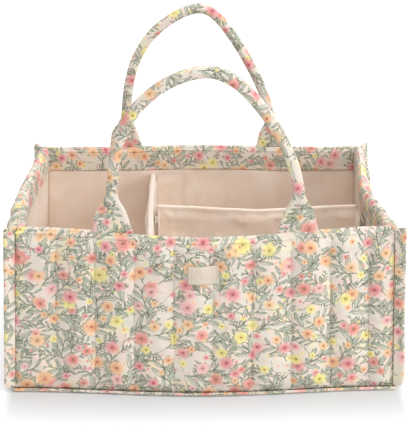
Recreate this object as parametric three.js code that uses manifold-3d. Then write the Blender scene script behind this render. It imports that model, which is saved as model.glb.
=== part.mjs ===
// A quilted cloth caddy with two soft handles and two removable dividers.
// Millimetres, +Z up, +X to the right and +Y to the back. The origin is the middle of the underside.

import * as THREE from "three";
import { mergeVertices } from "three/addons/utils/BufferGeometryUtils.js";
import Module from "manifold-3d";

const wasm = await Module();
wasm.setup();

// Shell: half sizes run from the middle to the corner seams
const rimHalfWidth = 179;
const baseHalfWidth = 187;
const halfDepth = 122;
const rimHeight = 172.5;

// How far the middle of each wall bows outward at the rim and at the base, and how far its rim sags
const frontBowAtRim = 14;
const frontBowAtBase = 11;
const frontRimSag = 5.5;
const backBowAtRim = 6;
const backBowAtBase = 4;
const backRimSag = 1.5;
const leftBowAtRim = 8;
const leftBowAtBase = 3;
const rightBowAtRim = -8;
const rightBowAtBase = -4;
const sideRimSag = 2;

// Layers of a wall, from the outside in, and of the base, from below
const outerCloth = 2.5;
const stiffenerThickness = 3;
const liningCloth = 1.5;
const facingCloth = 2;
const baseCloth = 2.5;
const baseBoardThickness = 3;
const floorCloth = 1.5;
const seamGap = 0.35;
const mitreGap = 0.3;
const boardEase = 0.3;

// Quilting: channels between vertical seams, padded to a soft crown
const channelPitch = 37.6;
const frontMiddleSeam = 7.9;
const sideMiddleSeam = 18.8;
const backMiddleSeam = 0;
const narrowestChannel = 15;
const channelCrown = 4;
const rimStitchDrop = 7;
const crownFade = 9;
const rimRoll = 0.8;
const rimRound = 1.4;

// Facing band, piping and corner flanges
const facingHeight = 26.5;
const pipingWidth = 3.8;
const pipingHeight = 3.8;
const pipingLift = 1;
const pipingRound = 1.1;
const flangeReach = 13.5;
const flangeThickness = 4.5;
const flangeEar = 2.5;
const flangeCorner = 6;

// Label
const labelWidth = 28.3;
const labelHeight = 18.5;
const labelThickness = 1.2;
const labelX = -2.4;
const labelDrop = 40.9;

// Handles
const tubeDiameter = 10.5;
const tubeBore = 7.2;
const ropeDiameter = 6.5;
const handleLeanDegrees = 4;
const tabWidth = 39;
const tabHeight = 38;
const tabThickness = 2.6;
const tailWidth = 36;
const tailDepth = 24;
const pivotLift = 4;
const rootGap = 0.7;
const frontHandle = { halfSpan: 87, middle: 0, legHeight: 24, rise: 129, skew: 6.4, taperShare: 1.13 };
const backHandle = { halfSpan: 82, middle: -2.7, legHeight: 6, rise: 148, skew: 9.1, taperShare: 1.22 };

// Dividers
const dividerThickness = 8;
const dividerDrop = 27.1;
const dividerCloth = 1.6;
const dividerEdgeRound = 3;
const crossDividerX = -54.4;
const longDividerY = 12;
const longDividerBow = 8;
const longDividerSag = 2;

// Flaps and their hook and loop strips
const flapThickness = 2;
const flapWidth = 28;
const flapHeadroom = 3;
const stripThickness = 1.2;
const stripWidth = 20;
const stripHeight = 48;
const stripDrop = 8;
const stripInset = 5;

// Levels and depths that follow from the layers
const wallFoot = baseCloth + seamGap;
const boardTop = wallFoot + baseBoardThickness;
const floorFoot = boardTop + seamGap;
const floorTop = floorFoot + floorCloth;
const liningFoot = floorTop + seamGap;
const stiffenerFace = outerCloth + seamGap;
const stiffenerBack = stiffenerFace + stiffenerThickness;
const liningFace = stiffenerBack + seamGap;
const liningBack = liningFace + liningCloth;
const facingBack = liningFace + facingCloth;
const tailMiddle = (stiffenerFace + stiffenerBack) / 2;
const pipingTop = pipingLift + pipingHeight;
const dividerTop = rimHeight - dividerDrop;
const labelMiddleHeight = rimHeight - labelDrop;
const tubeRadius = tubeDiameter / 2;
const cutOverrun = 20;

// Facets
const tubeSides = 10;
const tubeSteps = 46;
const ropeSides = 8;
const tabSides = 12;
const archSteps = 16;
const outlineSteps = 12;
const dividerSteps = 8;
const flapRoundSteps = 4;

// Shapes given as shares of the size they belong to
const channelStepShares = [0, 0.15, 0.5, 0.85];
const crownRiseShare = 0.75;
const fadeShare = 1 / 3;
const crownFullnessShare = 0.6;
const tabSquarenessShare = 0.8;
const dividerThinShare = 0.5;
const bevelShare = 0.3;
const flangeSectionShares = [[0, -1], [0, 1], [0.9, 1], [1, 0.5], [1, -0.5], [0.9, -1]];

// Finishes
const printedCotton = { color: 0xe9dccf, roughness: 0.9 };
const beigeSatin = { color: 0xd8c3af, roughness: 0.8 };
const foamBoard = { color: 0xf2f0ea, roughness: 0.95 };
const greyBoard = { color: 0xb9b0a4, roughness: 0.9 };
const cottonRope = { color: 0xf0ebe0, roughness: 0.95 };
const wovenLabel = { color: 0xefe7da, roughness: 0.85 };
const creamPiping = { color: 0xeee4d8, roughness: 0.9 };
const stripTape = { color: 0xe3d4c4, roughness: 0.95 };

const mix = THREE.MathUtils.lerp;

// A wall runs along one plan direction and faces out along another.
const walls = {
  front: {
    along: new THREE.Vector2(1, 0), out: new THREE.Vector2(0, -1), wide: true,
    bowAtRim: frontBowAtRim, bowAtBase: frontBowAtBase, sag: frontRimSag, middleSeam: frontMiddleSeam,
  },
  right: {
    along: new THREE.Vector2(0, 1), out: new THREE.Vector2(1, 0), wide: false,
    bowAtRim: rightBowAtRim, bowAtBase: rightBowAtBase, sag: sideRimSag, middleSeam: sideMiddleSeam,
  },
  back: {
    along: new THREE.Vector2(-1, 0), out: new THREE.Vector2(0, 1), wide: true,
    bowAtRim: backBowAtRim, bowAtBase: backBowAtBase, sag: backRimSag, middleSeam: backMiddleSeam,
  },
  left: {
    along: new THREE.Vector2(0, -1), out: new THREE.Vector2(-1, 0), wide: false,
    bowAtRim: leftBowAtRim, bowAtBase: leftBowAtBase, sag: sideRimSag, middleSeam: sideMiddleSeam,
  },
};

// A closed body from corner positions and triangles, turned so that its faces point out.
function closedBody(positions, faces) {
  const point = (i) => new THREE.Vector3().fromArray(positions, 3 * i);
  const volume = faces.reduce((sum, [a, b, c]) => sum + point(a).dot(point(b).cross(point(c))), 0);
  const outward = volume > 0 ? faces : faces.map(([a, b, c]) => [c, b, a]);
  const geometry = new THREE.BufferGeometry();
  geometry.setAttribute("position", new THREE.Float32BufferAttribute(positions, 3));
  geometry.setIndex(outward.flat());
  return geometry;
}

// The triangles of a flat end, all turned the way its outline turns.
function endFaces(outline) {
  const turn = Math.sign(THREE.ShapeUtils.area(outline));
  return THREE.ShapeUtils.triangulateShape(outline, []).map(([a, b, c]) => {
    const area = THREE.ShapeUtils.area([outline[a], outline[b], outline[c]]);
    return Math.sign(area) === turn ? [a, b, c] : [c, b, a];
  });
}

// A body that carries an outline through a row of stations. The outline may change on the way.
// Each four-sided face is cut from its lower side to its higher one, so that layers stay parallel.
function sweep(stations, outlineAt, place) {
  const outlines = stations.map(outlineAt);
  const count = outlines[0].length;
  const last = (stations.length - 1) * count;
  const corners = outlines.flatMap((outline, i) => outline.map((p) => place(stations[i], p)));
  const faces = [];
  for (let start = 0; start < last; start += count) {
    for (let j = 0; j < count; j++) {
      const next = (j + 1) % count;
      const [a, b] = [start + j, start + next];
      const rises = outlines[0][next].x >= outlines[0][j].x;
      if (rises) faces.push([a, b, b + count], [a, b + count, a + count]);
      else faces.push([a, b, a + count], [b, b + count, a + count]);
    }
  }
  endFaces(outlines[0]).forEach(([a, b, c]) => faces.push([c, b, a]));
  endFaces(outlines.at(-1)).forEach(([a, b, c]) => faces.push([a + last, b + last, c + last]));
  return closedBody(corners.flatMap((p) => p.toArray()), faces);
}

function asSolid(geometry) {
  const bare = geometry.clone();
  bare.deleteAttribute("normal");
  bare.deleteAttribute("uv");
  const merged = mergeVertices(bare);
  const vertProperties = new Float32Array(merged.attributes.position.array);
  const triVerts = new Uint32Array(merged.index.array);
  return new wasm.Manifold(new wasm.Mesh({ numProp: 3, vertProperties, triVerts }));
}

function asGeometry(solid) {
  const mesh = solid.getMesh();
  const geometry = new THREE.BufferGeometry();
  geometry.setAttribute("position", new THREE.BufferAttribute(mesh.vertProperties, 3));
  geometry.setIndex(new THREE.BufferAttribute(mesh.triVerts, 1));
  return geometry;
}

// The first body less all the others.
function cut(body, ...tools) {
  return asGeometry(tools.reduce((solid, tool) => solid.subtract(asSolid(tool)), asSolid(body)));
}

function boxBetween(low, high) {
  const size = new THREE.Vector3().subVectors(high, low);
  const middle = new THREE.Vector3().addVectors(low, high).multiplyScalar(1 / 2);
  return new THREE.BoxGeometry(size.x, size.y, size.z).translate(middle.x, middle.y, middle.z);
}

const caddy = new THREE.Group();

function addNode(name, geometry, finish, parent = caddy) {
  const mesh = new THREE.Mesh(geometry, new THREE.MeshStandardMaterial({ metalness: 0, ...finish }));
  mesh.name = name;
  parent.add(mesh);
  return mesh;
}

// Wall surfaces: a place on a wall is its share along the wall, its height, and its depth inward

function halfWidthAt(height) {
  return mix(baseHalfWidth, rimHalfWidth, height / rimHeight);
}

function halfRun(wall, height) {
  return wall.wide ? halfWidthAt(height) : halfDepth;
}

function halfReach(wall, height) {
  return wall.wide ? halfDepth : halfWidthAt(height);
}

// Full in the middle of a wall and nothing at its corners.
function belly(share) {
  return Math.cos((Math.PI * share) / 2) ** 2;
}

function bowAt(wall, share, height) {
  return mix(wall.bowAtBase, wall.bowAtRim, height / rimHeight) * belly(share);
}

function rimAt(wall, share) {
  return rimHeight - wall.sag * belly(share);
}

// The distance of a wall from the middle of the caddy, at a place along it and a depth inward.
function reachAt(wall, share, height, depth) {
  return halfReach(wall, height) + bowAt(wall, share, height) - depth;
}

// Inner layers are shorter by their depth, so that they meet in a mitre at the corners.
function wallPoint(wall, share, height, depth, endGap = mitreGap) {
  const run = share * (halfRun(wall, height) - Math.max(depth, 0) - endGap);
  const reach = reachAt(wall, share, height, depth);
  const plan = wall.along.clone().multiplyScalar(run).addScaledVector(wall.out, reach);
  return new THREE.Vector3(plan.x, plan.y, height);
}

// The seams between channels, as shares along the wall, with its two corners.
function seamShares(wall) {
  const half = halfRun(wall, rimHeight);
  const shares = [-1];
  const first = Math.ceil((-half + narrowestChannel - wall.middleSeam) / channelPitch);
  for (let i = first; wall.middleSeam + i * channelPitch < half - narrowestChannel; i++) {
    shares.push((wall.middleSeam + i * channelPitch) / half);
  }
  return [...shares, 1];
}

// Stations along a wall, each with the share of the crown that the padding has there.
function crownedStations(wall) {
  const seams = seamShares(wall);
  const stations = seams.slice(0, -1).flatMap((seam, i) =>
    channelStepShares.map((step) => ({
      share: mix(seam, seams[i + 1], step),
      crownShare: Math.sin(Math.PI * step) ** crownFullnessShare,
    })),
  );
  return [...stations, { share: 1, crownShare: 0 }];
}

// Plain layers need only the seams and the middles of the channels.
function plainStations(wall) {
  const seams = seamShares(wall);
  const shares = seams.slice(0, -1).flatMap((seam, i) => [seam, mix(seam, seams[i + 1], 1 / 2)]);
  return [...shares, 1];
}

// The section of a quilted panel, as height and depth: up its crowned face, over the rim and down.
function quiltedSection(wall, { share, crownShare }) {
  const top = rimAt(wall, share);
  const crown = crownShare * channelCrown;
  const roll = Math.abs(share) < 1 ? rimRoll : 0;
  const foot = pipingTop + seamGap;
  const stitch = top - rimStitchDrop;
  return [
    [wallFoot, 0],
    [foot, 0],
    [foot + crownFade * fadeShare, -crownRiseShare * crown],
    [foot + crownFade, -crown],
    [stitch - crownFade, -crown],
    [stitch - crownFade * fadeShare, -crownRiseShare * crown],
    [stitch, 0],
    [mix(stitch, top, 1 / 2), -roll],
    [top - rimRound, -roll / 2],
    [top, rimRound],
    [top, outerCloth],
    [wallFoot, outerCloth],
  ].map(([height, depth]) => new THREE.Vector2(height, depth));
}

function quiltedPanel(wall) {
  return sweep(
    crownedStations(wall),
    (station) => quiltedSection(wall, station),
    (station, p) => wallPoint(wall, station.share, p.x, p.y),
  );
}

// A plain layer of a wall between two depths, whose foot and top may follow the rim.
function wallLayer(wall, footAt, topAt, face, back) {
  return sweep(
    plainStations(wall),
    (share) => [
      new THREE.Vector2(footAt(share), face),
      new THREE.Vector2(topAt(share), face),
      new THREE.Vector2(topAt(share), back),
      new THREE.Vector2(footAt(share), back),
    ],
    (share, p) => wallPoint(wall, share, p.x, p.y),
  );
}

// A patch on a wall between two places along it, such as a label or a strip.
function wallPatch(wall, fromShare, toShare, foot, top, face, back) {
  return sweep(
    [fromShare, mix(fromShare, toShare, 1 / 2), toShare],
    () => [[foot, face], [top, face], [top, back], [foot, back]].map((p) => new THREE.Vector2(...p)),
    (share, p) => wallPoint(wall, share, p.x, p.y),
  );
}

// Base

const outlineShares = Array.from({ length: outlineSteps + 1 }, (_, i) => mix(-1, 1, i / outlineSteps));

// The plan outline of the shell at a height near its base, drawn in by a depth.
function baseOutline(depth, height) {
  const points = Object.values(walls).flatMap((wall) =>
    outlineShares.slice(0, -1).map((share) => wallPoint(wall, share, height, depth, 0)),
  );
  return points.map((p) => new THREE.Vector2(p.x, p.y));
}

// The same outline set outward, with an arc round each corner.
function outsetOutline(outset) {
  const points = [];
  for (const wall of Object.values(walls)) {
    const edge = outlineShares.map((share) => wallPoint(wall, share, 0, 0, 0));
    edge.forEach((p) => points.push(new THREE.Vector2(p.x, p.y).addScaledVector(wall.out, outset)));
    const corner = edge.at(-1);
    const diagonal = wall.out.clone().add(wall.along).setLength(outset);
    points.push(new THREE.Vector2(corner.x, corner.y).add(diagonal));
  }
  return points;
}

function basePlate(depth, foot, thickness) {
  const shape = new THREE.Shape(baseOutline(depth, foot + thickness));
  return new THREE.ExtrudeGeometry(shape, { depth: thickness, bevelEnabled: false }).translate(0, 0, foot);
}

function basePiping() {
  const shape = new THREE.Shape(outsetOutline(seamGap + pipingWidth - pipingRound));
  shape.holes.push(new THREE.Path(outsetOutline(seamGap + pipingRound)));
  const geometry = new THREE.ExtrudeGeometry(shape, {
    depth: pipingHeight - 2 * pipingRound,
    bevelThickness: pipingRound,
    bevelSize: pipingRound,
    bevelSegments: 1,
  });
  return geometry.translate(0, 0, pipingLift + pipingRound);
}

function addBase() {
  const inside = liningFace + boardEase;
  addNode("base_outer_panel", basePlate(0, 0, baseCloth), printedCotton);
  addNode("base_piping", basePiping(), creamPiping);
  addNode("base_board", basePlate(inside, wallFoot, baseBoardThickness), greyBoard);
  addNode("base_floor_lining", basePlate(inside, floorFoot, floorCloth), beigeSatin);
}

// Walls

function handleOf(name) {
  return { front: frontHandle, back: backHandle }[name];
}

function legsOf(handle) {
  return [handle.middle - handle.halfSpan, handle.middle + handle.halfSpan];
}

// The share along a wide wall of a place across the caddy, at the rim.
function shareAtX(wall, x) {
  return (x * wall.along.x) / rimHalfWidth;
}

// A slot through the stiffener for each handle tail.
function tailNotches(name) {
  const wall = walls[name];
  return legsOf(handleOf(name)).map((x) => {
    const half = tailWidth / 2 + seamGap;
    const reach = halfDepth + Math.abs(wall.bowAtRim) + cutOverrun;
    const foot = rimAt(wall, shareAtX(wall, x)) - tailDepth - seamGap;
    return boxBetween(
      new THREE.Vector3(x - half, Math.min(0, wall.out.y * reach), foot),
      new THREE.Vector3(x + half, Math.max(0, wall.out.y * reach), rimHeight + cutOverrun),
    );
  });
}

function addWall(name) {
  const wall = walls[name];
  const rim = (share) => rimAt(wall, share);
  const facingFoot = (share) => rimAt(wall, share) - facingHeight;
  addNode(`${name}_outer_panel`, quiltedPanel(wall), printedCotton);
  const stiffener = wallLayer(
    wall, () => wallFoot, (share) => rim(share) - rimRound, stiffenerFace, stiffenerBack,
  );
  const notched = handleOf(name) ? cut(stiffener, ...tailNotches(name)) : stiffener;
  addNode(`${name}_stiffener`, notched, foamBoard);
  const lining = wallLayer(
    wall, () => liningFoot, (share) => facingFoot(share) - seamGap, liningFace, liningBack,
  );
  addNode(`${name}_lining`, lining, beigeSatin);
  addNode(`${name}_facing`, wallLayer(wall, facingFoot, rim, liningFace, facingBack), printedCotton);
}

// Corner flanges: each stands out along the diagonal of its corner

function flangeStations() {
  const foot = pipingTop + seamGap;
  const top = rimHeight + flangeEar;
  return [
    { height: foot, reachShare: 0.6 },
    { height: foot + flangeCorner / 3, reachShare: 0.88 },
    { height: foot + flangeCorner, reachShare: 1 },
    { height: top - flangeCorner / 2, reachShare: 1 },
    { height: top, reachShare: 0.8 },
  ];
}

function cornerFlange(sideX, sideY) {
  const diagonal = new THREE.Vector2(sideX, sideY).normalize();
  const across = new THREE.Vector2(-diagonal.y, diagonal.x);
  return sweep(
    flangeStations(),
    ({ reachShare }) => flangeSectionShares.map(([r, s]) =>
      new THREE.Vector2(seamGap + r * reachShare * flangeReach, (s * flangeThickness) / 2)),
    ({ height }, p) => {
      const plan = new THREE.Vector2(sideX * halfWidthAt(height), sideY * halfDepth)
        .addScaledVector(diagonal, p.x)
        .addScaledVector(across, p.y);
      return new THREE.Vector3(plan.x, plan.y, height);
    },
  );
}

function addFlanges() {
  addNode("front_left_flange", cornerFlange(-1, -1), printedCotton);
  addNode("front_right_flange", cornerFlange(1, -1), printedCotton);
  addNode("back_left_flange", cornerFlange(-1, 1), printedCotton);
  addNode("back_right_flange", cornerFlange(1, 1), printedCotton);
}

function addLabel() {
  const share = (x) => x / halfWidthAt(labelMiddleHeight);
  const back = -(channelCrown + seamGap);
  const label = wallPatch(
    walls.front,
    share(labelX - labelWidth / 2),
    share(labelX + labelWidth / 2),
    labelMiddleHeight - labelHeight / 2,
    labelMiddleHeight + labelHeight / 2,
    back - labelThickness,
    back,
  );
  addNode("label_tab", label, wovenLabel);
}

// Handles: each is drawn in its own upright plane, with x across and z up from its pivot line

function archPoint(handle, angle) {
  const c = Math.cos(angle);
  const swing = Math.sign(c) * Math.abs(c) ** handle.taperShare;
  return new THREE.Vector3(
    handle.middle + handle.halfSpan * swing - handle.skew * Math.sin(2 * angle) ** 2,
    0,
    handle.legHeight + handle.rise * Math.sin(angle),
  );
}

// The middle line of a handle, from its left root over the arch to its right root.
function handleCurve(handle) {
  const [left, right] = legsOf(handle);
  const arch = Array.from({ length: archSteps + 1 }, (_, i) =>
    archPoint(handle, Math.PI * (1 - i / archSteps)));
  return new THREE.CatmullRomCurve3(
    [new THREE.Vector3(left, 0, 0), ...arch, new THREE.Vector3(right, 0, 0)], false, "centripetal",
  );
}

// A stretch of a curve between two lengths along it.
class Stretch extends THREE.Curve {
  constructor(curve, from, to) {
    super();
    this.curve = curve;
    this.from = from / curve.getLength();
    this.to = to / curve.getLength();
  }

  getPoint(t) {
    return this.curve.getPointAt(mix(this.from, this.to, t));
  }
}

function circle(radius, sides) {
  return Array.from({ length: sides }, (_, i) => {
    const angle = (2 * Math.PI * i) / sides;
    return new THREE.Vector2(radius * Math.cos(angle), radius * Math.sin(angle));
  });
}

function tubeAlong(path, outer, bore, sides) {
  const shape = new THREE.Shape(circle(outer, sides));
  if (bore) shape.holes.push(new THREE.Path(circle(bore, sides)));
  return new THREE.ExtrudeGeometry(shape, { steps: tubeSteps, extrudePath: path, bevelEnabled: false });
}

// Rows of a bell-shaped tab: its height, and how near its width and thickness come to the tube's.
const tabShares = [
  [0, 0, 0], [0.23, 0.1, 0.08], [0.45, 0.3, 0.25], [0.67, 0.66, 0.6], [0.87, 0.9, 0.9], [1, 1, 1],
];
const rootAngles = [-75, -40].map(THREE.MathUtils.degToRad);

function tabStations() {
  const root = rootAngles.map((angle) => ({
    along: (tabThickness / 2) * Math.sin(angle),
    halfWidth: tabWidth / 2,
    halfThickness: (tabThickness / 2) * Math.cos(angle),
  }));
  const bell = tabShares.map(([height, narrow, thick]) => ({
    along: height * tabHeight,
    halfWidth: mix(tabWidth, tubeDiameter, narrow) / 2,
    halfThickness: mix(tabThickness, tubeDiameter, thick) / 2,
  }));
  return [...root, ...bell];
}

function roundedOval(halfWidth, halfThickness) {
  const soft = (v) => Math.sign(v) * Math.abs(v) ** tabSquarenessShare;
  return circle(1, tabSides).map((p) => new THREE.Vector2(halfWidth * soft(p.x), halfThickness * soft(p.y)));
}

// A tab follows the middle line from its root, where the line is read from either end.
function handleTab(curve, fromLeft) {
  const length = curve.getLength();
  const share = (along) => (fromLeft ? along / length : 1 - along / length);
  const turn = fromLeft ? 1 : -1;
  return sweep(
    tabStations(),
    ({ halfWidth, halfThickness }) => roundedOval(halfWidth, halfThickness),
    ({ along }, p) => {
      const onCurve = Math.max(along, 0);
      const tangent = curve.getTangentAt(share(onCurve)).multiplyScalar(turn);
      const side = new THREE.Vector3(tangent.z, 0, -tangent.x);
      return curve.getPointAt(share(onCurve))
        .addScaledVector(tangent, along - onCurve)
        .addScaledVector(side, p.x)
        .add(new THREE.Vector3(0, p.y, 0));
    },
  );
}

// The pivot line lies above the highest rim beside a tab, in line with the middle of the wall.
function pivotOf(name) {
  const wall = walls[name];
  const legs = legsOf(handleOf(name));
  const edges = legs.flatMap((x) => [x - tabWidth / 2, x + tabWidth / 2]);
  const height = Math.max(...edges.map((x) => rimAt(wall, shareAtX(wall, x)))) + pivotLift;
  const reach = reachAt(wall, shareAtX(wall, legs[0]), rimHeight, tailMiddle);
  return new THREE.Vector3(0, wall.out.y * reach, height);
}

function addHandle(name) {
  const curve = handleCurve(handleOf(name));
  const length = curve.getLength();
  const end = tabHeight + seamGap;
  const group = new THREE.Group();
  group.position.copy(pivotOf(name));
  group.rotation.x = -walls[name].out.y * THREE.MathUtils.degToRad(handleLeanDegrees);
  caddy.add(group);
  const path = new Stretch(curve, end, length - end);
  addNode(`${name}_handle_cover`, tubeAlong(path, tubeRadius, tubeBore / 2, tubeSides), printedCotton, group);
  addNode(`${name}_handle_rope`, tubeAlong(path, ropeDiameter / 2, 0, ropeSides), cottonRope, group);
  addNode(`${name}_handle_left_tab`, handleTab(curve, true), printedCotton, group);
  addNode(`${name}_handle_right_tab`, handleTab(curve, false), printedCotton, group);
}

// A tail follows the wall up to the rim, then straightens under the tab's root.
function handleTail(name, x) {
  const wall = walls[name];
  const pivot = pivotOf(name);
  const half = tailWidth / 2;
  const across = [-1, -1 / 2, 0, 1 / 2, 1].map((share) => x + share * half);
  const face = tailMiddle - tabThickness / 2;
  const back = tailMiddle + tabThickness / 2;
  const foot = rimAt(wall, shareAtX(wall, x)) - tailDepth;
  const lip = pivot.z - tabThickness / 2 - rootGap;
  const outline = [
    ...across.map((along) => new THREE.Vector2(along, face)),
    ...across.map((along) => new THREE.Vector2(along, back)).reverse(),
  ];
  const inWall = (along, height, depth) => {
    const reach = reachAt(wall, shareAtX(wall, along), height, depth);
    return new THREE.Vector3(along, wall.out.y * reach, height);
  };
  return sweep(["foot", "rim", "lip"], () => outline, (level, p) => {
    if (level === "foot") return inWall(p.x, foot, p.y);
    if (level === "rim") return inWall(p.x, rimAt(wall, shareAtX(wall, p.x)), p.y);
    return new THREE.Vector3(p.x, pivot.y - wall.out.y * (p.y - tailMiddle), lip);
  });
}

function addTails(name) {
  const [left, right] = legsOf(handleOf(name));
  addNode(`${name}_handle_left_tail`, handleTail(name, left), printedCotton);
  addNode(`${name}_handle_right_tail`, handleTail(name, right), printedCotton);
}

// Dividers: each clears the narrowest place between the walls, so that it lifts straight out

// The inner face of a wall at a height, less a clearance, at the nearer of two places along it.
function clearReach(wall, places, height, depth, clearance) {
  const half = halfRun(wall, height);
  const run = wall.along.x + wall.along.y;
  return Math.min(...places.map((at) => reachAt(wall, (at * run) / half, height, depth))) - clearance;
}

function narrowReach(wall, places) {
  const foot = clearReach(wall, places, floorTop, liningBack, seamGap);
  const rim = clearReach(wall, places, rimHeight, facingBack, seamGap);
  return Math.min(foot, rim);
}

const crossSides = [crossDividerX - dividerThickness / 2, crossDividerX + dividerThickness / 2];
const longSides = [longDividerY - dividerThickness / 2, longDividerY + dividerThickness / 2];
const crossEnds = [-narrowReach(walls.front, crossSides), narrowReach(walls.back, crossSides)];
const longEnds = [crossSides[1] + seamGap, narrowReach(walls.right, longSides)];
const dividerFoot = floorTop + seamGap;

// The section across a divider: straight sides and a round top.
function dividerSection(thickness, foot, top, round) {
  const half = thickness / 2;
  const bevel = round * bevelShare;
  return [
    [-half, foot], [-half, top - round], [-half + bevel, top - bevel], [-half + round, top],
    [half - round, top], [half - bevel, top - bevel], [half, top - round], [half, foot],
  ].map((p) => new THREE.Vector2(...p));
}

// Stations along a divider, drawn in at both ends to round its upright edges.
function dividerStations(ends, inset, endRound) {
  const from = ends[0] + inset;
  const to = ends[1] - inset;
  const inner = Array.from({ length: dividerSteps + 1 }, (_, i) => ({
    at: mix(from + endRound, to - endRound, i / dividerSteps), thinShare: 1,
  }));
  return [{ at: from, thinShare: dividerThinShare }, ...inner, { at: to, thinShare: dividerThinShare }];
}

// A slab of a divider: its place function bends it in plan and lets its top sag.
function dividerSlab({ ends, place }, { inset, thickness, foot, top, round }) {
  const corner = Math.min(round, thickness / 3);
  return sweep(
    dividerStations(ends, inset, corner),
    ({ thinShare }) => dividerSection(thickness * thinShare, foot, top, corner * thinShare),
    ({ at }, p) => place(at, p),
  );
}

function addDivider(name, divider) {
  const inner = dividerThickness - 2 * dividerCloth;
  const cover = dividerSlab(divider, {
    inset: 0, thickness: dividerThickness, foot: dividerFoot, top: dividerTop, round: dividerEdgeRound,
  });
  const pocket = dividerSlab(divider, {
    inset: dividerCloth, thickness: inner, foot: dividerFoot - cutOverrun,
    top: dividerTop - dividerCloth, round: 0,
  });
  const core = dividerSlab(divider, {
    inset: dividerCloth + seamGap, thickness: inner - 2 * seamGap, foot: dividerFoot + seamGap,
    top: dividerTop - dividerCloth - seamGap, round: 0,
  });
  addNode(`${name}_divider_cover`, cut(cover, pocket), beigeSatin);
  addNode(`${name}_divider_core`, core, foamBoard);
}

const crossDivider = {
  ends: crossEnds,
  place: (at, p) => new THREE.Vector3(crossDividerX + p.x, at, p.y),
};

// Full in the middle of the long divider and nothing at its ends.
function longBelly(at) {
  return Math.sin((Math.PI * (at - longEnds[0])) / (longEnds[1] - longEnds[0])) ** 2;
}

const longDivider = {
  ends: longEnds,
  place: (at, p) => {
    const sag = longDividerSag * longBelly(at) * (p.y / dividerTop);
    return new THREE.Vector3(at, longDividerY + p.x - longDividerBow * longBelly(at), p.y - sag);
  },
};

// Flaps: each is drawn along x from its fold, and its hook strip is on the side that sticks

const stripTop = dividerTop - stripDrop;
const stripFoot = stripTop - stripHeight;
const flapFoot = dividerFoot + flapHeadroom;
const flapTop = dividerTop - flapHeadroom;
const foldGap = seamGap + flapThickness / 2;
const hookReach = flapThickness + seamGap + stripThickness;

function flapPlan() {
  const half = flapThickness / 2;
  const shape = new THREE.Shape();
  shape.absarc(0, 0, half, Math.PI / 2, (3 * Math.PI) / 2, false);
  shape.lineTo(flapWidth - half, -half);
  shape.absarc(flapWidth - half, 0, half, -Math.PI / 2, Math.PI / 2, false);
  return shape;
}

function addFlap(name, fold, turn, stickSide) {
  const group = new THREE.Group();
  group.position.set(fold.x, fold.y, 0);
  group.rotation.z = turn;
  caddy.add(group);
  const flap = new THREE.ExtrudeGeometry(flapPlan(), {
    depth: flapTop - flapFoot, bevelEnabled: false, curveSegments: flapRoundSteps,
  }).translate(0, 0, flapFoot);
  addNode(`${name}_flap`, flap, beigeSatin, group);
  const near = stickSide * (flapThickness / 2 + seamGap);
  const far = near + stickSide * stripThickness;
  const hook = boxBetween(
    new THREE.Vector3(stripInset, Math.min(near, far), stripFoot),
    new THREE.Vector3(stripInset + stripWidth, Math.max(near, far), stripTop),
  );
  addNode(`${name}_hook_strip`, hook, stripTape, group);
}

// How far from the middle of the caddy a flap's outer hook face may stand before a wall.
function hookFace(wall, places) {
  const past = 2 * seamGap + stripThickness;
  return Math.min(
    clearReach(wall, places, rimHeight, facingBack, seamGap),
    clearReach(wall, places, stripTop, liningBack, past),
    clearReach(wall, places, stripFoot, liningBack, past),
  );
}

const crossFoldX = crossSides[1] + foldGap;
const longFoldY = longSides[0] - foldGap;
const crossFlapRun = [crossFoldX, crossFoldX + flapWidth];
const longFlapRun = [longFoldY - flapWidth, longFoldY];
const flapMiddle = hookReach - flapThickness / 2;

function addCrossFlaps() {
  const front = -(hookFace(walls.front, crossFlapRun) - flapMiddle);
  const back = hookFace(walls.back, crossFlapRun) - flapMiddle;
  addFlap("cross_front", new THREE.Vector2(crossFoldX, front), 0, -1);
  addFlap("cross_back", new THREE.Vector2(crossFoldX, back), 0, 1);
}

function addLongFlaps() {
  const left = crossSides[1] + 2 * seamGap + stripThickness + flapMiddle;
  const right = hookFace(walls.right, longFlapRun) - flapMiddle;
  addFlap("long_left", new THREE.Vector2(left, longFoldY), -Math.PI / 2, -1);
  addFlap("long_right", new THREE.Vector2(right, longFoldY), -Math.PI / 2, 1);
}

// A loop strip on the lining of a wall, opposite the hook strip of a flap.
function wallLoopStrip(wall, from) {
  const half = halfRun(wall, stripTop);
  const run = wall.along.x + wall.along.y;
  const face = liningBack + seamGap;
  const shares = [from, from + stripWidth].map((at) => (at * run) / half).sort((a, b) => a - b);
  return wallPatch(wall, ...shares, stripFoot, stripTop, face, face + stripThickness);
}

function addLoopStrips() {
  const crossFrom = crossFoldX + stripInset;
  const longFrom = longFoldY - stripInset - stripWidth;
  addNode("front_loop_strip", wallLoopStrip(walls.front, crossFrom), stripTape);
  addNode("back_loop_strip", wallLoopStrip(walls.back, crossFrom), stripTape);
  addNode("right_loop_strip", wallLoopStrip(walls.right, longFrom), stripTape);
  const face = crossSides[1] + seamGap;
  const onDivider = boxBetween(
    new THREE.Vector3(face, longFrom, stripFoot),
    new THREE.Vector3(face + stripThickness, longFrom + stripWidth, stripTop),
  );
  addNode("cross_divider_loop_strip", onDivider, stripTape);
}

addBase();
Object.keys(walls).forEach(addWall);
addFlanges();
addLabel();
addTails("front");
addTails("back");
addHandle("front");
addHandle("back");
addDivider("cross", crossDivider);
addDivider("long", longDivider);
addCrossFlaps();
addLongFlaps();
addLoopStrips();

export default caddy;
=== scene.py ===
# %% [markdown]
# # A quilted cloth caddy
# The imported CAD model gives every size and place. This file dresses it in cloth: quilted walls with a small
# flower print, a satin lining, two padded dividers and two soft handles. Each shape is worked out with numpy
# in millimetres, on the same formulas as the CAD solids, and is turned into metres when its mesh is made.

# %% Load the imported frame
import math

import bpy
import numpy as np
from mathutils import Matrix


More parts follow.
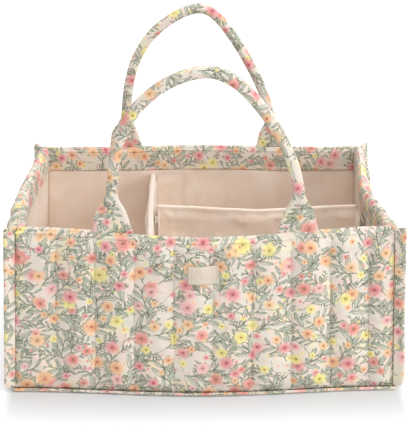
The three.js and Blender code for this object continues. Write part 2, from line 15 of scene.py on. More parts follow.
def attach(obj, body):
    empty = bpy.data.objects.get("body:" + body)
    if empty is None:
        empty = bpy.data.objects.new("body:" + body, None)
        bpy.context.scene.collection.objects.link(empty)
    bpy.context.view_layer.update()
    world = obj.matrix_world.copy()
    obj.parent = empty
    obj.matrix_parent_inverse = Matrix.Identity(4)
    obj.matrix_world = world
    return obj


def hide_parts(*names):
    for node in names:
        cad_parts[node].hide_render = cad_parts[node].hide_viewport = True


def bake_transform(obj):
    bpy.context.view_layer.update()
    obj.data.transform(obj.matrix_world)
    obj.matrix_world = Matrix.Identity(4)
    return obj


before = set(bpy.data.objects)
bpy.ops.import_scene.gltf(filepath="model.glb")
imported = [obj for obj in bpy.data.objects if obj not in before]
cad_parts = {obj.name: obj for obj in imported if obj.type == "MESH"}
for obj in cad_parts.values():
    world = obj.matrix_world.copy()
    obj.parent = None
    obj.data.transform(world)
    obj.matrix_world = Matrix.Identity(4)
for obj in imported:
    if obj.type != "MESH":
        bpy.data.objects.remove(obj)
scene = bpy.context.scene
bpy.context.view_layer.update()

# %% [markdown]
# ## The camera
# The camera stands in front of the caddy, a little above it and turned by a degree. It could be placed by
# eye, but here its place and its lens were fitted to the eight corners of the box, so that the render and the
# photograph can be laid over each other. Everything else that is put in the scene goes through the same small
# helper.

# %% Place the camera
PHOTO_HEIGHT = 425
FOCAL_LENGTH_IN_PIXELS = 1231
CAMERA_PLACE = (-0.021, -1.198, 0.601)
YAW, PITCH, ROLL = (math.radians(angle) for angle in (1.09, 20.98, -0.26))


def in_scene(name, data, place=None, axes=None):
    """An object with that data, linked to the scene. The columns of axes are its own X, Y and Z."""
    thing = bpy.data.objects.new(name, data)
    scene.collection.objects.link(thing)
    if place is not None:
        thing.matrix_world = Matrix.Translation(place) @ Matrix(axes).to_4x4()
    return thing


def camera_axes(yaw, pitch, roll):
    """Right, up and backward: the view turned by yaw about Z, tipped down by pitch and rolled."""
    level = np.array([math.cos(yaw), -math.sin(yaw), 0.0])
    ahead = np.array([math.sin(yaw), math.cos(yaw), 0.0])
    forward = ahead * math.cos(pitch) - np.array([0, 0, math.sin(pitch)])
    upright = ahead * math.sin(pitch) + np.array([0, 0, math.cos(pitch)])
    right = level * math.cos(roll) - upright * math.sin(roll)
    up = level * math.sin(roll) + upright * math.cos(roll)
    return np.stack([right, up, -forward], axis=1)


lens_data = bpy.data.cameras.new("camera")
lens_data.sensor_width = 36.0
lens_data.lens = FOCAL_LENGTH_IN_PIXELS * lens_data.sensor_width / PHOTO_HEIGHT
scene.camera = in_scene("camera", lens_data, CAMERA_PLACE, camera_axes(YAW, PITCH, ROLL))
print(f"lens {lens_data.lens:.1f} mm")

# %% [markdown]
# ## Sizes
# These are the sizes of the CAD source, in millimetres. The cloth could be fitted to the boards by eye, but
# it follows the same wall formulas, so it fits by itself. Cloth is freer than a board, so the rim may also
# rise or lean out a little near its corners, as it does on the real caddy.

# %% Sizes shared with the CAD model
MM = 0.001
RIM_HALF_WIDTH, BASE_HALF_WIDTH, HALF_DEPTH, RIM_HEIGHT = 179.0, 187.0, 122.0, 172.5
CHANNEL_PITCH, NARROWEST_CHANNEL, CHANNEL_CROWN = 36.9, 15.0, 4.6
STITCH_DROP, FACING_HEIGHT = 7.0, 26.5
WALL_FOOT, LINING_FACE, LINING_BACK = 2.85, 6.2, 7.7
FLOOR_FOOT, FLOOR_TOP, LINING_FOOT = 6.2, 7.7, 8.05

# along and out are directions on the ground. The bows are how far a wall's middle stands out at the rim and
# at the base, sag is how far its rim dips there, and seam is the place of one upright seam. lifts and flares
# say how far the rim rises and leans out at the wall's two ends.
WALLS = {
    "front": dict(along=(1, 0), out=(0, -1), wide=True, rim_bow=14.0, base_bow=11.0, sag=5.5, seam=7.4,
                  lifts=(0, 0), flares=(0, 0)),
    "right": dict(along=(0, 1), out=(1, 0), wide=False, rim_bow=-8.0, base_bow=-4.0, sag=2.0, seam=18.8,
                  lifts=(0, 3.2), flares=(5.0, 2.0)),
    "back": dict(along=(-1, 0), out=(0, 1), wide=True, rim_bow=6.0, base_bow=4.0, sag=-3.0, seam=0.0,
                 lifts=(3.2, 3.2), flares=(0, 0)),
    "left": dict(along=(0, -1), out=(-1, 0), wide=False, rim_bow=8.0, base_bow=3.0, sag=2.0, seam=18.8,
                 lifts=(3.2, 0), flares=(3.5, 7.5)),
}
LIFT_REACH, FLARE_REACH = 0.7, 1.6  # as shares of half a wall


# %% Formulas of a wall
def half_width(z):
    """Straight line from the base's half width to the rim's."""
    return BASE_HALF_WIDTH + (RIM_HALF_WIDTH - BASE_HALF_WIDTH) * z / RIM_HEIGHT


def half_of(wall):
    """Half the length of a wall, measured at its rim."""
    return RIM_HALF_WIDTH if wall["wide"] else HALF_DEPTH


def half_run(wall, z):
    """Half the length of a wall at a height: only the wide walls narrow toward the rim."""
    return half_width(z) if wall["wide"] else HALF_DEPTH + 0 * z


def outward(wall):
    """The direction out of a wall."""
    return np.array(wall["out"] + (0,), float)


def belly(share):
    """Squared cosine: one in the middle of a wall and nothing at its corners."""
    return np.cos(np.pi * share / 2) ** 2


def near_ends(share, amounts, reach):
    """The first amount at one end of a wall and the second at the other, gone at that reach from each."""
    fade = lambda gap: np.cos(np.pi / 2 * np.clip(gap / reach, 0, 1)) ** 2
    return amounts[0] * fade(share + 1) + amounts[1] * fade(1 - share)


def rim_at(wall, share):
    """The rim's height, which sags in the middle of a wall and is drawn up at the back corners."""
    return RIM_HEIGHT - wall["sag"] * belly(share) + near_ends(share, wall["lifts"], LIFT_REACH)


# %% Places on a wall
def wall_reach(wall, share, z, depth):
    """Distance from the middle of the caddy: half size, plus the bow, less the depth inward."""
    reach = HALF_DEPTH if wall["wide"] else half_width(z)
    bow = wall["base_bow"] + (wall["rim_bow"] - wall["base_bow"]) * z / RIM_HEIGHT
    return reach + bow * belly(share) - depth


def wall_point(wall, share, z, depth, end_gap=0.05):
    """A place on a wall from its share along it, its height and its depth inward, as arrays."""
    share, z, depth = np.broadcast_arrays(share, z, depth)
    run = share * (half_run(wall, z) - np.maximum(depth, 0) - end_gap)
    reach = wall_reach(wall, share, z, depth)
    (ax, ay), (ox, oy) = wall["along"], wall["out"]
    return np.stack([run * ax + reach * ox, run * ay + reach * oy, z], axis=-1)


print("front wall middle at the rim:", wall_point(WALLS["front"], 0.0, rim_at(WALLS["front"], 0.0), 0.0))

# %% [markdown]
# ## Mesh helpers
# Cloth could be modelled by hand or by modifiers, but a formula can be read and changed. So every piece is a
# grid of points: rows run along the piece and columns run round its section. The faces of a grid are worked
# out as one array. Each face corner gets its place in the cloth as its UV, so one print keeps one scale on
# every piece.

# %% Grids
def grid_faces(rows, columns, wrap_rows=False, wrap_columns=True):
    """Four corner numbers of each cell of a grid, which may close on itself either way."""
    row = np.arange(rows - (not wrap_rows))[:, None]
    column = np.arange(columns - (not wrap_columns))[None]
    low, high = row * columns, (row + 1) % rows * columns
    after = (column + 1) % columns
    return np.stack([low + column, low + after, high + after, high + column], -1).reshape(-1, 4)


def grid_uv(u, v, u_end=None, v_end=None, wrap_rows=False):
    """UV of each cell corner. u_end and v_end hold at the far side of a cell, where the cloth has a seam."""
    u_end = np.roll(u, -1, axis=1) if u_end is None else u_end
    v_end = np.roll(v, -1, axis=1) if v_end is None else v_end
    near, far = np.stack([u, v], -1), np.stack([u_end, v_end], -1)
    ahead = slice(None) if wrap_rows else slice(0, -1)
    corners = [near, far, np.roll(far, -1, axis=0), np.roll(near, -1, axis=0)]
    return np.stack([corner[ahead] for corner in corners], axis=2).reshape(-1, 4, 2)


def there_and_back(front, back):
    """The columns of a thin closed sheet: up its front side and down its back."""
    return np.concatenate([front, back[:, ::-1]], axis=1)


# %% Noise and soft steps
LATTICE, LATTICE_START = 64, (17.3, 9.1)


def smooth_noise(x, y, size, seed):
    """Random values on a square lattice of that size, joined by smooth steps, from -1 to 1."""
    lattice = np.random.default_rng(seed).uniform(-1, 1, (LATTICE, LATTICE))
    x, y = np.broadcast_arrays(x / size + LATTICE_START[0], y / size + LATTICE_START[1])
    column, row = np.floor(x).astype(int), np.floor(y).astype(int)
    fx, fy = x - column, y - row
    fx, fy = fx * fx * (3 - 2 * fx), fy * fy * (3 - 2 * fy)
    value = lambda i, j: lattice[(row + j) % LATTICE, (column + i) % LATTICE]
    low = value(0, 0) * (1 - fx) + value(1, 0) * fx
    high = value(0, 1) * (1 - fx) + value(1, 1) * fx
    return low * (1 - fy) + high * fy


def soft_step(x, low, high):
    """Nothing before low, one after high, and a smooth rise between them."""
    t = np.clip((x - low) / (high - low), 0, 1)
    return t * t * (3 - 2 * t)


def bump_at(x, place, width):
    """A bell curve: one at that place and nearly nothing two widths away."""
    return np.exp(-(((x - place) / width) ** 2))


def quarter(count):
    """Angles of a quarter turn."""
    return np.linspace(0, np.pi / 2, count)


# %% Meshes in metres, with their faces outward
def turned_out(mesh):
    """Turns the faces round if the closed mesh holds a negative volume."""
    mesh.calc_loop_triangles()
    corners = np.zeros(len(mesh.loop_triangles) * 3, int)
    mesh.loop_triangles.foreach_get("vertices", corners)
    places = np.zeros(len(mesh.vertices) * 3)
    mesh.vertices.foreach_get("co", places)
    a, b, c = places.reshape(-1, 3)[corners.reshape(-1, 3)].transpose(1, 0, 2)
    if (a * np.cross(b, c)).sum() < 0:
        mesh.flip_normals()


def mesh_in_metres(name, points_mm, faces):
    """A mesh from points in millimetres and lists of corner numbers."""
    mesh = bpy.data.meshes.new(name)
    mesh.from_pydata((points_mm.reshape(-1, 3) * MM).tolist(), [], faces)
    return mesh


# %% New pieces
def new_piece(name, points_mm, uv_mm, finish, body, replaces=(), faces=None):
    """A smooth-shaded mesh. A grid without faces of its own becomes a tube with a flat face at each end."""
    rings = []
    if faces is None:
        rows, columns = points_mm.shape[:2]
        around = np.arange(columns)
        faces, rings = grid_faces(rows, columns), [around[::-1], around + (rows - 1) * columns]
    mesh = mesh_in_metres(name, points_mm, faces.tolist() + [ring.tolist() for ring in rings])
    layer = mesh.uv_layers.new(name="cloth")
    uv = np.concatenate([uv_mm.reshape(-1, 2)] + [np.zeros((len(ring), 2)) for ring in rings]) * MM
    layer.data.foreach_set("uv", uv.astype(np.float32).ravel())
    mesh.polygons.foreach_set("use_smooth", [True] * len(mesh.polygons))
    turned_out(mesh)
    material, slot = finish
    mesh.materials.append(material)
    piece = in_scene(name, mesh)
    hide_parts(*replaces)
    if body:
        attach(piece, body)
    print(f"{name}: {len(mesh.polygons)} faces")
    return piece


# %% [markdown]
# ## Stitches
# A sewing machine leaves short raised dashes that dive into the cloth at both ends. They could be a bump in a
# material, but real threads catch the light from every side. Each one here is a four-sided thread with four
# rings, and all the dashes of a piece are worked out as one array.

# %% Dashes of thread along a line
DASH_PITCH, DASH_LENGTH, THREAD_RADIUS, THREAD_LIFT, THREAD_DIVE = 3.3, 2.4, 0.3, 0.12, 0.35
RING_PLACES, RING_WIDTHS = np.array([-0.5, -0.28, 0.28, 0.5]), np.array([0.4, 1, 1, 0.4])
RING_DIVES, LOOK_AHEAD = np.array([-0.9, 0, 0, -0.9]), 0.3


def unit(vectors):
    """Each vector divided by its own length."""
    return vectors / np.linalg.norm(vectors, axis=-1, keepdims=True)


def dashes(line, normal, pitch=DASH_PITCH, length=DASH_LENGTH, radius=THREAD_RADIUS):
    """Thread along a line: rings at shares of a dash, thin and sunk at its ends, thick and raised between."""
    line = np.asarray(line, float)
    normal = np.broadcast_to(np.asarray(normal, float), line.shape)
    run = np.concatenate([[0], np.cumsum(np.linalg.norm(np.diff(line, axis=0), axis=1))])
    middle = np.arange(pitch / 2, run[-1], pitch)
    at = lambda where, values: np.stack([np.interp(where, run, values[:, k]) for k in range(3)], axis=-1)
    centre = at(middle[:, None] + length * RING_PLACES, line)
    ahead = unit(at(middle + LOOK_AHEAD, line) - at(middle - LOOK_AHEAD, line))
    up = at(middle, normal)
    up = unit(up - (up * ahead).sum(axis=1, keepdims=True) * ahead)
    side = np.cross(ahead, up)
    angle = np.linspace(0, 2 * np.pi, 5)[:-1] + np.pi / 4
    spoke = up[:, None, None] * np.cos(angle)[:, None] + side[:, None, None] * np.sin(angle)[:, None]
    rings = centre[:, :, None] + up[:, None, None] * (THREAD_LIFT + THREAD_DIVE * RING_DIVES)[:, None, None]
    return rings + spoke * (radius * RING_WIDTHS)[:, None, None]


# %% One mesh from many dashes
RINGS, RING_POINTS, THREAD_UV_STEP = 4, 4, 0.11


def stitching(name, rows, body):
    """One mesh from many dashes: four rings of four points each, closed at both ends."""
    points = np.concatenate(rows)
    first = np.arange(len(points))[:, None] * RINGS * RING_POINTS
    around = np.arange(RING_POINTS)
    ends = np.stack([around[::-1], around + (RINGS - 1) * RING_POINTS])
    one_dash = np.concatenate([grid_faces(RINGS, RING_POINTS), ends])
    faces = (first[..., None] + one_dash[None]).reshape(-1, 4)
    uv = np.repeat(first * THREAD_UV_STEP, len(one_dash), axis=1).reshape(-1, 1, 1) + np.zeros((1, 4, 2))
    return new_piece(name, points, uv, THREAD, body, faces=faces)


# %% [markdown]
# ## Letting the cloth settle
# A sewn cloth is a little longer than the line it is sewn to, and that spare length is what puckers beside a
# seam. Waves could stand for it, but Blender's cloth solver finds how the cloth really gives way. So a grid
# of points is handed to it with its seams pinned, grown by a few percent and pushed outward by a slight
# pressure. Only the settled places are kept.

# %% A grid under the cloth solver
SETTLE_FRAMES = 14
CLOTH_SETTINGS = {"vertex_group_mass": "held", "quality": 4, "mass": 0.08, "tension_stiffness": 12.0,
                  "compression_stiffness": 12.0, "bending_stiffness": 0.3, "use_pressure": True}


def trial_cloth(points, held, pressure, growth):
    """A mesh of the grid under the cloth solver, pinned where it is held."""
    faces = grid_faces(*points.shape[:2], wrap_columns=False).tolist()
    trial = in_scene("trial_cloth", mesh_in_metres("trial_cloth", points, faces))
    trial.vertex_groups.new(name="held").add(np.flatnonzero(held.ravel()).tolist(), 1.0, "REPLACE")
    cloth = trial.modifiers.new("cloth", "CLOTH")
    for name, value in CLOTH_SETTINGS.items():
        setattr(cloth.settings, name, value)
    cloth.settings.uniform_pressure_force = pressure
    cloth.settings.shrink_min = -growth
    cloth.settings.effector_weights.gravity = 0
    cloth.collision_settings.use_collision = cloth.collision_settings.use_self_collision = False
    cloth.point_cache.frame_start, cloth.point_cache.frame_end = 1, SETTLE_FRAMES
    return trial


# %% Let it settle
def settled(points, held, pressure, growth, reach):
    """The grid after a simulation: held points stay, the others move by no more than reach millimetres."""
    trial = trial_cloth(points, held, pressure, growth)
    for number in range(1, SETTLE_FRAMES + 1):
        scene.frame_set(number)
    places = np.zeros(points.size, np.float32)
    found = trial.evaluated_get(bpy.context.evaluated_depsgraph_get()).data
    found.vertices.foreach_get("co", places)
    mesh = trial.data
    bpy.data.objects.remove(trial)
    bpy.data.meshes.remove(mesh)
    scene.frame_set(1)
    move = places.reshape(points.shape).astype(float) / MM - points
    length = np.linalg.norm(move, axis=-1, keepdims=True)
    print(f"settled {length.size} points by {length.mean():.2f} mm on average, {length.max():.2f} at most")
    return points + move * (reach * np.tanh(length / reach) / np.maximum(length, 1e-9))


# %% [markdown]
# ## Writing shaders as sums
# A procedural print is a long formula. Its nodes could be added and wired one by one, but then the formula
# would be hard to see. Field is a number that changes over the surface: adding or multiplying fields adds
# Math nodes to the tree, so the formulas below read like the ones on paper.

# %% A field is a node output that can be added and multiplied
def feed(tree, socket, value):
    """Links a field or an output into a socket, or sets the socket's own value."""
    if isinstance(value, Field):
        tree.links.new(value.socket, socket)
    elif isinstance(value, bpy.types.NodeSocket):
        tree.links.new(value, socket)
    else:
        socket.default_value = value


class Field:
    """A number that changes over the surface. Sums and products on it are Math nodes."""

    def __init__(self, tree, socket):
        self.tree, self.socket = tree, socket

    def math(self, operation, *others):
        node = self.tree.nodes.new("ShaderNodeMath")
        node.operation = operation
        for socket, value in zip(node.inputs, (self, *others)):
            feed(self.tree, socket, value)
        return Field(self.tree, node.outputs[0])

    def __add__(self, other): return self.math("ADD", other)
    def __sub__(self, other): return self.math("SUBTRACT", other)
    def __mul__(self, other): return self.math("MULTIPLY", other)
    def __truediv__(self, other): return self.math("DIVIDE", other)
    def __pow__(self, other): return self.math("POWER", other)
    def __neg__(self): return self.math("MULTIPLY", -1.0)
    def __abs__(self): return self.math("ABSOLUTE")
    def __rsub__(self, other): return (-self) + other

    def step(self, low, high):
        """Nothing at low, one at high, and a smooth rise between them."""
        node = self.tree.nodes.new("ShaderNodeMapRange")
        node.interpolation_type = "SMOOTHSTEP"
        for socket, value in zip(node.inputs[:3], (self, low, high)):
            feed(self.tree, socket, value)
        return Field(self.tree, node.outputs[0])


# %% Small helpers for nodes
def add_node(tree, kind, inputs=None, **settings):
    """A node with its settings and the values or links of its named inputs."""
    node = tree.nodes.new(kind)
    for name, value in settings.items():
        setattr(node, name, value)
    for name, value in (inputs or {}).items():
        feed(tree, node.inputs[name], value)
    return node


def colour(code):
    """A linear colour from a hex code, by the sRGB curve."""
    parts = [int(code[i:i + 2], 16) / 255 for i in (1, 3, 5)]
    return tuple(p / 12.92 if p <= 0.04045 else ((p + 0.055) / 1.055) ** 2.4 for p in parts) + (1.0,)


def mixed(tree, share, first, second, blend="MIX"):
    """The first colour, going over to the second as the share goes to one."""
    node = add_node(tree, "ShaderNodeMix", data_type="RGBA", blend_type=blend)
    for socket, value in ((node.inputs[0], share), (node.inputs[6], first), (node.inputs[7], second)):
        feed(tree, socket, value)
    return node.outputs[2]


def joined(tree, x, y, z=0.0):
    """A vector from three numbers or fields."""
    return add_node(tree, "ShaderNodeCombineXYZ", {"X": x, "Y": y, "Z": z}).outputs[0]


def split(tree, vector):
    """The three parts of a vector or colour as fields."""
    node = add_node(tree, "ShaderNodeSeparateXYZ", {"Vector": vector})
    return [Field(tree, output) for output in node.outputs]


def turned(tree, vector, angle):
    """A vector turned about Z."""
    return add_node(tree, "ShaderNodeVectorRotate", {"Vector": vector, "Angle": angle},
                    rotation_type="Z_AXIS").outputs[0]


def noise_field(tree, vector, scale, detail=2.0):
    """Blender's soft noise, about one half on average."""
    node = add_node(tree, "ShaderNodeTexNoise", {"Vector": vector, "Scale": scale, "Detail": detail})
    return Field(tree, node.outputs[0])


# %% Node groups
SOCKET_KINDS = {"Place": "NodeSocketVector", "Local": "NodeSocketVector", "Random": "NodeSocketVector",
                "Colour": "NodeSocketColor"}


def new_group(name, inputs, outputs):
    """A shader node group with sockets of those names, and what its inside reads from and feeds."""
    tree = bpy.data.node_groups.new(name, "ShaderNodeTree")
    for labels, side in ((inputs, "INPUT"), (outputs, "OUTPUT")):
        for label in labels.split():
            tree.interface.new_socket(label, in_out=side,
                                      socket_type=SOCKET_KINDS.get(label, "NodeSocketFloat"))
    given, result = tree.nodes.new("NodeGroupInput"), tree.nodes.new("NodeGroupOutput")
    return tree, given.outputs, result.inputs


def use_group(tree, group, inputs):
    """Places a group in a tree and returns its outputs by name."""
    node = add_node(tree, "ShaderNodeGroup", node_tree=group)
    for name, value in inputs.items():
        feed(tree, node.inputs[name], value)
    return node.outputs


# %% [markdown]
# ## The print
# The real cloth is covered with small painted flowers on leafy sprigs. A print like that could be an image,
# but a formula stays sharp at any size and is nobody's drawing. The plane of the cloth is cut into square
# cells, each cell gets its own random numbers, and one motif is drawn in each, shifted and turned by them.
# Several such layers with unlike cell sizes lie over each other.

# %% Cells: one random place and turn for each square of cloth
def make_cells():
    """Group: the place within a cell, from its own jittered and turned middle, and its random numbers."""
    tree, read, result = new_group("cells", "Place Cell Slant Shift Jitter Turn", "Local Random")
    scaled = add_node(tree, "ShaderNodeVectorMath", operation="DIVIDE")
    feed(tree, scaled.inputs[0], turned(tree, read["Place"], read["Slant"]))
    feed(tree, scaled.inputs[1], joined(tree, read["Cell"], read["Cell"], 1.0))
    x, y, _ = split(tree, scaled.outputs[0])
    x, y = x + read["Shift"], y + read["Shift"]
    column, row = x.math("FLOOR"), y.math("FLOOR")
    cell = joined(tree, column, row, read["Shift"])
    chance = add_node(tree, "ShaderNodeTexWhiteNoise", {"Vector": cell}, noise_dimensions="3D")
    a, b, c = split(tree, chance.outputs["Color"])
    jitter = Field(tree, read["Jitter"])
    local = joined(tree, (x - column - 0.5 - (a - 0.5) * jitter) * read["Cell"],
                   (y - row - 0.5 - (b - 0.5) * jitter) * read["Cell"])
    feed(tree, result["Local"], turned(tree, local, (c - 0.5) * read["Turn"]))
    more = add_node(tree, "ShaderNodeTexWhiteNoise", {"Vector": cell, "W": 7.0}, noise_dimensions="4D")
    feed(tree, result["Random"], more.outputs["Color"])
    return tree


CELLS = make_cells()


# %% [markdown]
# ## Blossoms
# The painted flowers have round petals with notches between them, a small eye, and a soft edge where the
# paint ran. They could be stamped from a picture. Here the distance from the middle is divided by a wavy
# radius, which gives petal, shade and halo at once, for any number of petals.

# %% A blossom: round petals about a small eye
def make_blossom():
    """Group: radius = size times (1 - notch + notch |cos(petals angle / 2)|); shade rises to the edge."""
    tree, read, result = new_group("blossom", "Local Radius Petals Notch Eye", "Petals Halo Shade Lines Eye")
    x, y, _ = split(tree, read["Local"])
    radius = (x * x + y * y).math("SQRT")
    angle = y.math("ARCTAN2", x)
    lobe = abs((angle * read["Petals"] * 0.5).math("COSINE"))
    notch = Field(tree, read["Notch"])
    edge = ((lobe ** 0.7) * notch + (1.0 - notch)) * read["Radius"]
    reach = radius / edge
    fold = 1.0 - lobe.step(0.0, 0.35)
    feed(tree, result["Petals"], 1.0 - reach.step(0.72, 1.12))
    feed(tree, result["Halo"], 1.0 - reach.step(0.8, 1.6))
    feed(tree, result["Shade"], reach.math("MINIMUM", 1.0))
    feed(tree, result["Lines"], fold * (1.0 - reach.step(0.5, 0.95)))
    feed(tree, result["Eye"], 1.0 - (radius / read["Eye"]).step(0.7, 1.15))
    return tree


BLOSSOM = make_blossom()

# %% [markdown]
# ## Sprigs
# Pointed leaves with a dark outline sit in turn along thin stems. A curve for each leaf would take thousands
# of curves, so one leaf is drawn and used again along the stem: the place is measured from the nearest leaf's
# foot.

# %% A sprig: pointed leaves in turn along a bent stem
ROOT_OF_TWO, HALF_ROOT = 1.414, 0.707  # a leaf leaves the stem at 45 degrees
TAPER = 0.45  # leaves grow shorter toward the tip
EDGE_BLUR = (-0.00012, 0.00018)
OUTLINE, VEIN, STEM = (0.0003, 0.00085), (0.0001, 0.00045), (0.00025, 0.00065)


def make_sprig():
    """Group: a leaf leaves the stem every pitch, and its half width is w (4 t (1 - t)) ** 0.65 along it."""
    tree, read, result = new_group("sprig", "Local Length Leaf Width Pitch Bend", "Leaf Line Side")
    x, y, _ = split(tree, read["Local"])
    length, leaf, pitch = (Field(tree, read[name]) for name in ("Length", "Leaf", "Pitch"))
    bent = x - y * y * read["Bend"]
    side, out = bent.math("SIGN"), abs(bent)
    foot = y - out + side * pitch * 0.25
    on_stem = (foot / pitch).math("ROUND") * pitch
    fade = 1.0 - (on_stem / length + 0.5) * TAPER
    along = (out * ROOT_OF_TWO) / (leaf * fade)
    across = abs(foot - on_stem) * HALF_ROOT
    fuller = ((along * (1.0 - along) * 4.0).math("MAXIMUM", 0.0)) ** 0.65
    distance = fuller * read["Width"] * fade - across
    shape = distance.step(*EDGE_BLUR) * abs(on_stem).math("LESS_THAN", length * 0.5)
    rim = (1.0 - distance.step(*OUTLINE)) * shape
    vein = (1.0 - across.step(*VEIN)) * along.math("LESS_THAN", 0.95) * shape
    stem = (1.0 - out.step(*STEM)) * abs(y + pitch * 0.2).math("LESS_THAN", length * 0.56)
    feed(tree, result["Leaf"], shape)
    feed(tree, result["Line"], (rim.math("MAXIMUM", vein * 0.75)).math("MAXIMUM", stem))
    feed(tree, result["Side"], (foot - on_stem).math("GREATER_THAN", 0.0))
    return tree


SPRIG = make_sprig()

# %% [markdown]
# ## Layers of the print
# The layers are painted as on a real print: pale washes on the ground, tendrils and sprigs on them, blossoms
# over these and buds last. Each layer picks its colours by its cell's random number, and a soft noise thins
# the paint as watercolour does.

# %% Paints
GROUND, PINK_EYE, GREEN_EYE = colour("#e2d9cd"), colour("#a9474f"), colour("#857a38")
LEAF_LINE, LEAF_PALE, LEAF_DARK = colour("#68705c"), colour("#ccd0c1"), colour("#a3a996")
# Where a paint starts on the chooser, its light colour and its deep colour.
PAINTS = ((0.0, "#ecaaa9", "#cf6c79"), (0.24, "#f0c49c", "#de9768"), (0.45, "#efe69b", "#e1cc70"),
          (0.66, "#eba398", "#ce6d6e"), (0.8, "#f1cca4", "#e8ab7d"), (0.9, "#efc4c0", "#dc929c"))
# Scale and detail of a wash's noise, where it starts and is full, its strength and its colour.
WASHES = ((55.0, 2.0, 0.45, 0.7, 0.55, "#efd1c6"), (48.0, 1.0, 0.55, 0.72, 0.5, "#ede3ae"),
          (75.0, 1.0, 0.5, 0.7, 0.5, "#d6dacb"))
# Scale and detail of the noises that thin the paint and that bend the tendrils, and a tendril's soft edge.
THINNING, WANDER, TENDRIL_EDGE = (210.0, 3.0), (21.0, 0.5), (0.003, 0.008)
# A motif's shift as a share of its cell, and its greatest turn in radians.
SPRIG_SCATTER, BLOSSOM_SCATTER = (0.35, 3.0), (0.5, 6.28)
# Size, slant and shift of the cells; length, leaf, width, pitch and bend of a sprig; share of cells with one.
SPRIG_LAYERS = ((0.019, 0.9, 7.9, (0.015, 0.0062, 0.00095, 0.0038, 26.0), 0.7),
                (0.026, -0.3, 3.3, (0.022, 0.0105, 0.0016, 0.0064, 20.0), 0.92),
                (0.033, 0.2, 11.7, (0.026, 0.0175, 0.0027, 0.0108, 12.0), 1.0),
                (0.029, 1.35, 17.3, (0.024, 0.0135, 0.0021, 0.0086, 15.0), 0.7))
# Size, slant and shift of the cells; radius, petals and notch of a blossom; share of cells with one.
BLOSSOM_LAYERS = ((0.0175, 0.35, 5.1, 0.0036, 5.0, 0.3, 0.55), (0.0225, 0.8, 2.6, 0.0058, 5.0, 0.24, 0.72),
                  (0.031, 1.1, 9.4, 0.0072, 8.0, 0.16, 0.55), (0.012, 0.1, 6.2, 0.0015, 5.0, 0.3, 0.35))


# %% Choose a paint and a cell
def paint_ramp(tree, chooser, column):
    """A stepped ramp that picks one paint for each cell."""
    ramp = add_node(tree, "ShaderNodeValToRGB", {"Fac": chooser})
    ramp.color_ramp.interpolation = "CONSTANT"
    stops = ramp.color_ramp.elements
    while len(stops) < len(PAINTS):
        stops.new(1.0)
    for stop, paint in zip(stops, PAINTS):
        stop.position, stop.color = paint[0], colour(paint[column])
    return ramp.outputs[0]


def motif_cells(tree, place, cell, slant, shift, jitter, turn):
    """The cells of one layer: the place within a cell and its three random numbers."""
    cells = use_group(tree, CELLS, {"Place": place, "Cell": cell, "Slant": slant, "Shift": shift,
                                    "Jitter": jitter, "Turn": turn})
    return cells["Local"], split(tree, cells["Random"])


# %% Paint one layer of sprigs
def sprig_layer(tree, under, place, wash, cell, slant, shift, sizes, keep):
    """Draws one layer of sprigs over the colour under it."""
    length, leaf, width, pitch, bend = sizes
    local, (chance, lean, _) = motif_cells(tree, place, cell, slant, shift, *SPRIG_SCATTER)
    present = chance.math("LESS_THAN", keep)
    drawn = use_group(tree, SPRIG, {"Local": local, "Length": length, "Leaf": leaf, "Width": width,
                                    "Pitch": pitch, "Bend": (lean - 0.5) * bend})
    filled = mixed(tree, Field(tree, drawn["Side"]) * 0.7, LEAF_PALE, LEAF_DARK)
    leaves = mixed(tree, present * drawn["Leaf"] * (wash * 0.3 + 0.65), under, filled)
    return mixed(tree, present * drawn["Line"] * (wash * 0.45 + 0.6), leaves, LEAF_LINE)


# %% Paint one layer of blossoms
def blossom_layer(tree, under, place, wash, cell, slant, shift, radius, petals, notch, keep):
    """Draws one layer of blossoms over the colour under it."""
    local, (chance, chooser, size) = motif_cells(tree, place, cell, slant, shift, *BLOSSOM_SCATTER)
    present = chance.math("LESS_THAN", keep)
    drawn = use_group(tree, BLOSSOM, {"Local": local, "Radius": size * radius * 0.4 + radius * 0.75,
                                      "Petals": petals, "Notch": notch, "Eye": radius * 0.2})
    light, deep = paint_ramp(tree, chooser, 1), paint_ramp(tree, chooser, 2)
    shade = Field(tree, drawn["Shade"])
    inner = (1.0 - shade.step(0.05, 0.85)) * 0.85 + Field(tree, drawn["Lines"]) * 0.4
    petal = mixed(tree, inner.math("MINIMUM", 1.0), light, deep)
    glow = mixed(tree, present * drawn["Halo"] * 0.3, under, light)
    body = mixed(tree, present * drawn["Petals"] * (wash * 0.3 + 0.7), glow, petal)
    eye = mixed(tree, chooser.math("GREATER_THAN", 0.5), PINK_EYE, GREEN_EYE)
    return mixed(tree, present * drawn["Eye"] * 0.7, body, eye)


# %% Paint all layers over the cream ground
def make_print():
    """Group: the whole printed ground, from a place on the cloth in metres."""
    tree, read, result = new_group("flower_print", "Place", "Colour")
    place, painted = read["Place"], GROUND
    wash = noise_field(tree, place, *THINNING).step(0.3, 0.7)
    for scale, detail, low, high, strength, tint in WASHES:
        patches = noise_field(tree, place, scale, detail).step(low, high)
        painted = mixed(tree, patches * strength, painted, colour(tint))
    wander = abs(noise_field(tree, place, *WANDER) - 0.5)
    tendril = (1.0 - wander.step(*TENDRIL_EDGE)) * wash
    painted = mixed(tree, tendril * 0.75, painted, LEAF_LINE)
    for layer in SPRIG_LAYERS:
        painted = sprig_layer(tree, painted, place, wash, *layer)
    for layer in BLOSSOM_LAYERS:
        painted = blossom_layer(tree, painted, place, wash, *layer)
    feed(tree, result["Colour"], painted)
    return tree


FLOWER_PRINT = make_print()
print(len(FLOWER_PRINT.nodes), "nodes in the print")


# %% [markdown]
# ## Weave
# Cloth is not smooth: threads cross over and under, and the fabric has faint slubs. Real threads would need
# millions of faces, so a small bump from crossed sine waves on the UV gives them, and a softer noise gives
# the slack between stitches. Printed cotton, satin, tape, foam and board all use it with their own values.

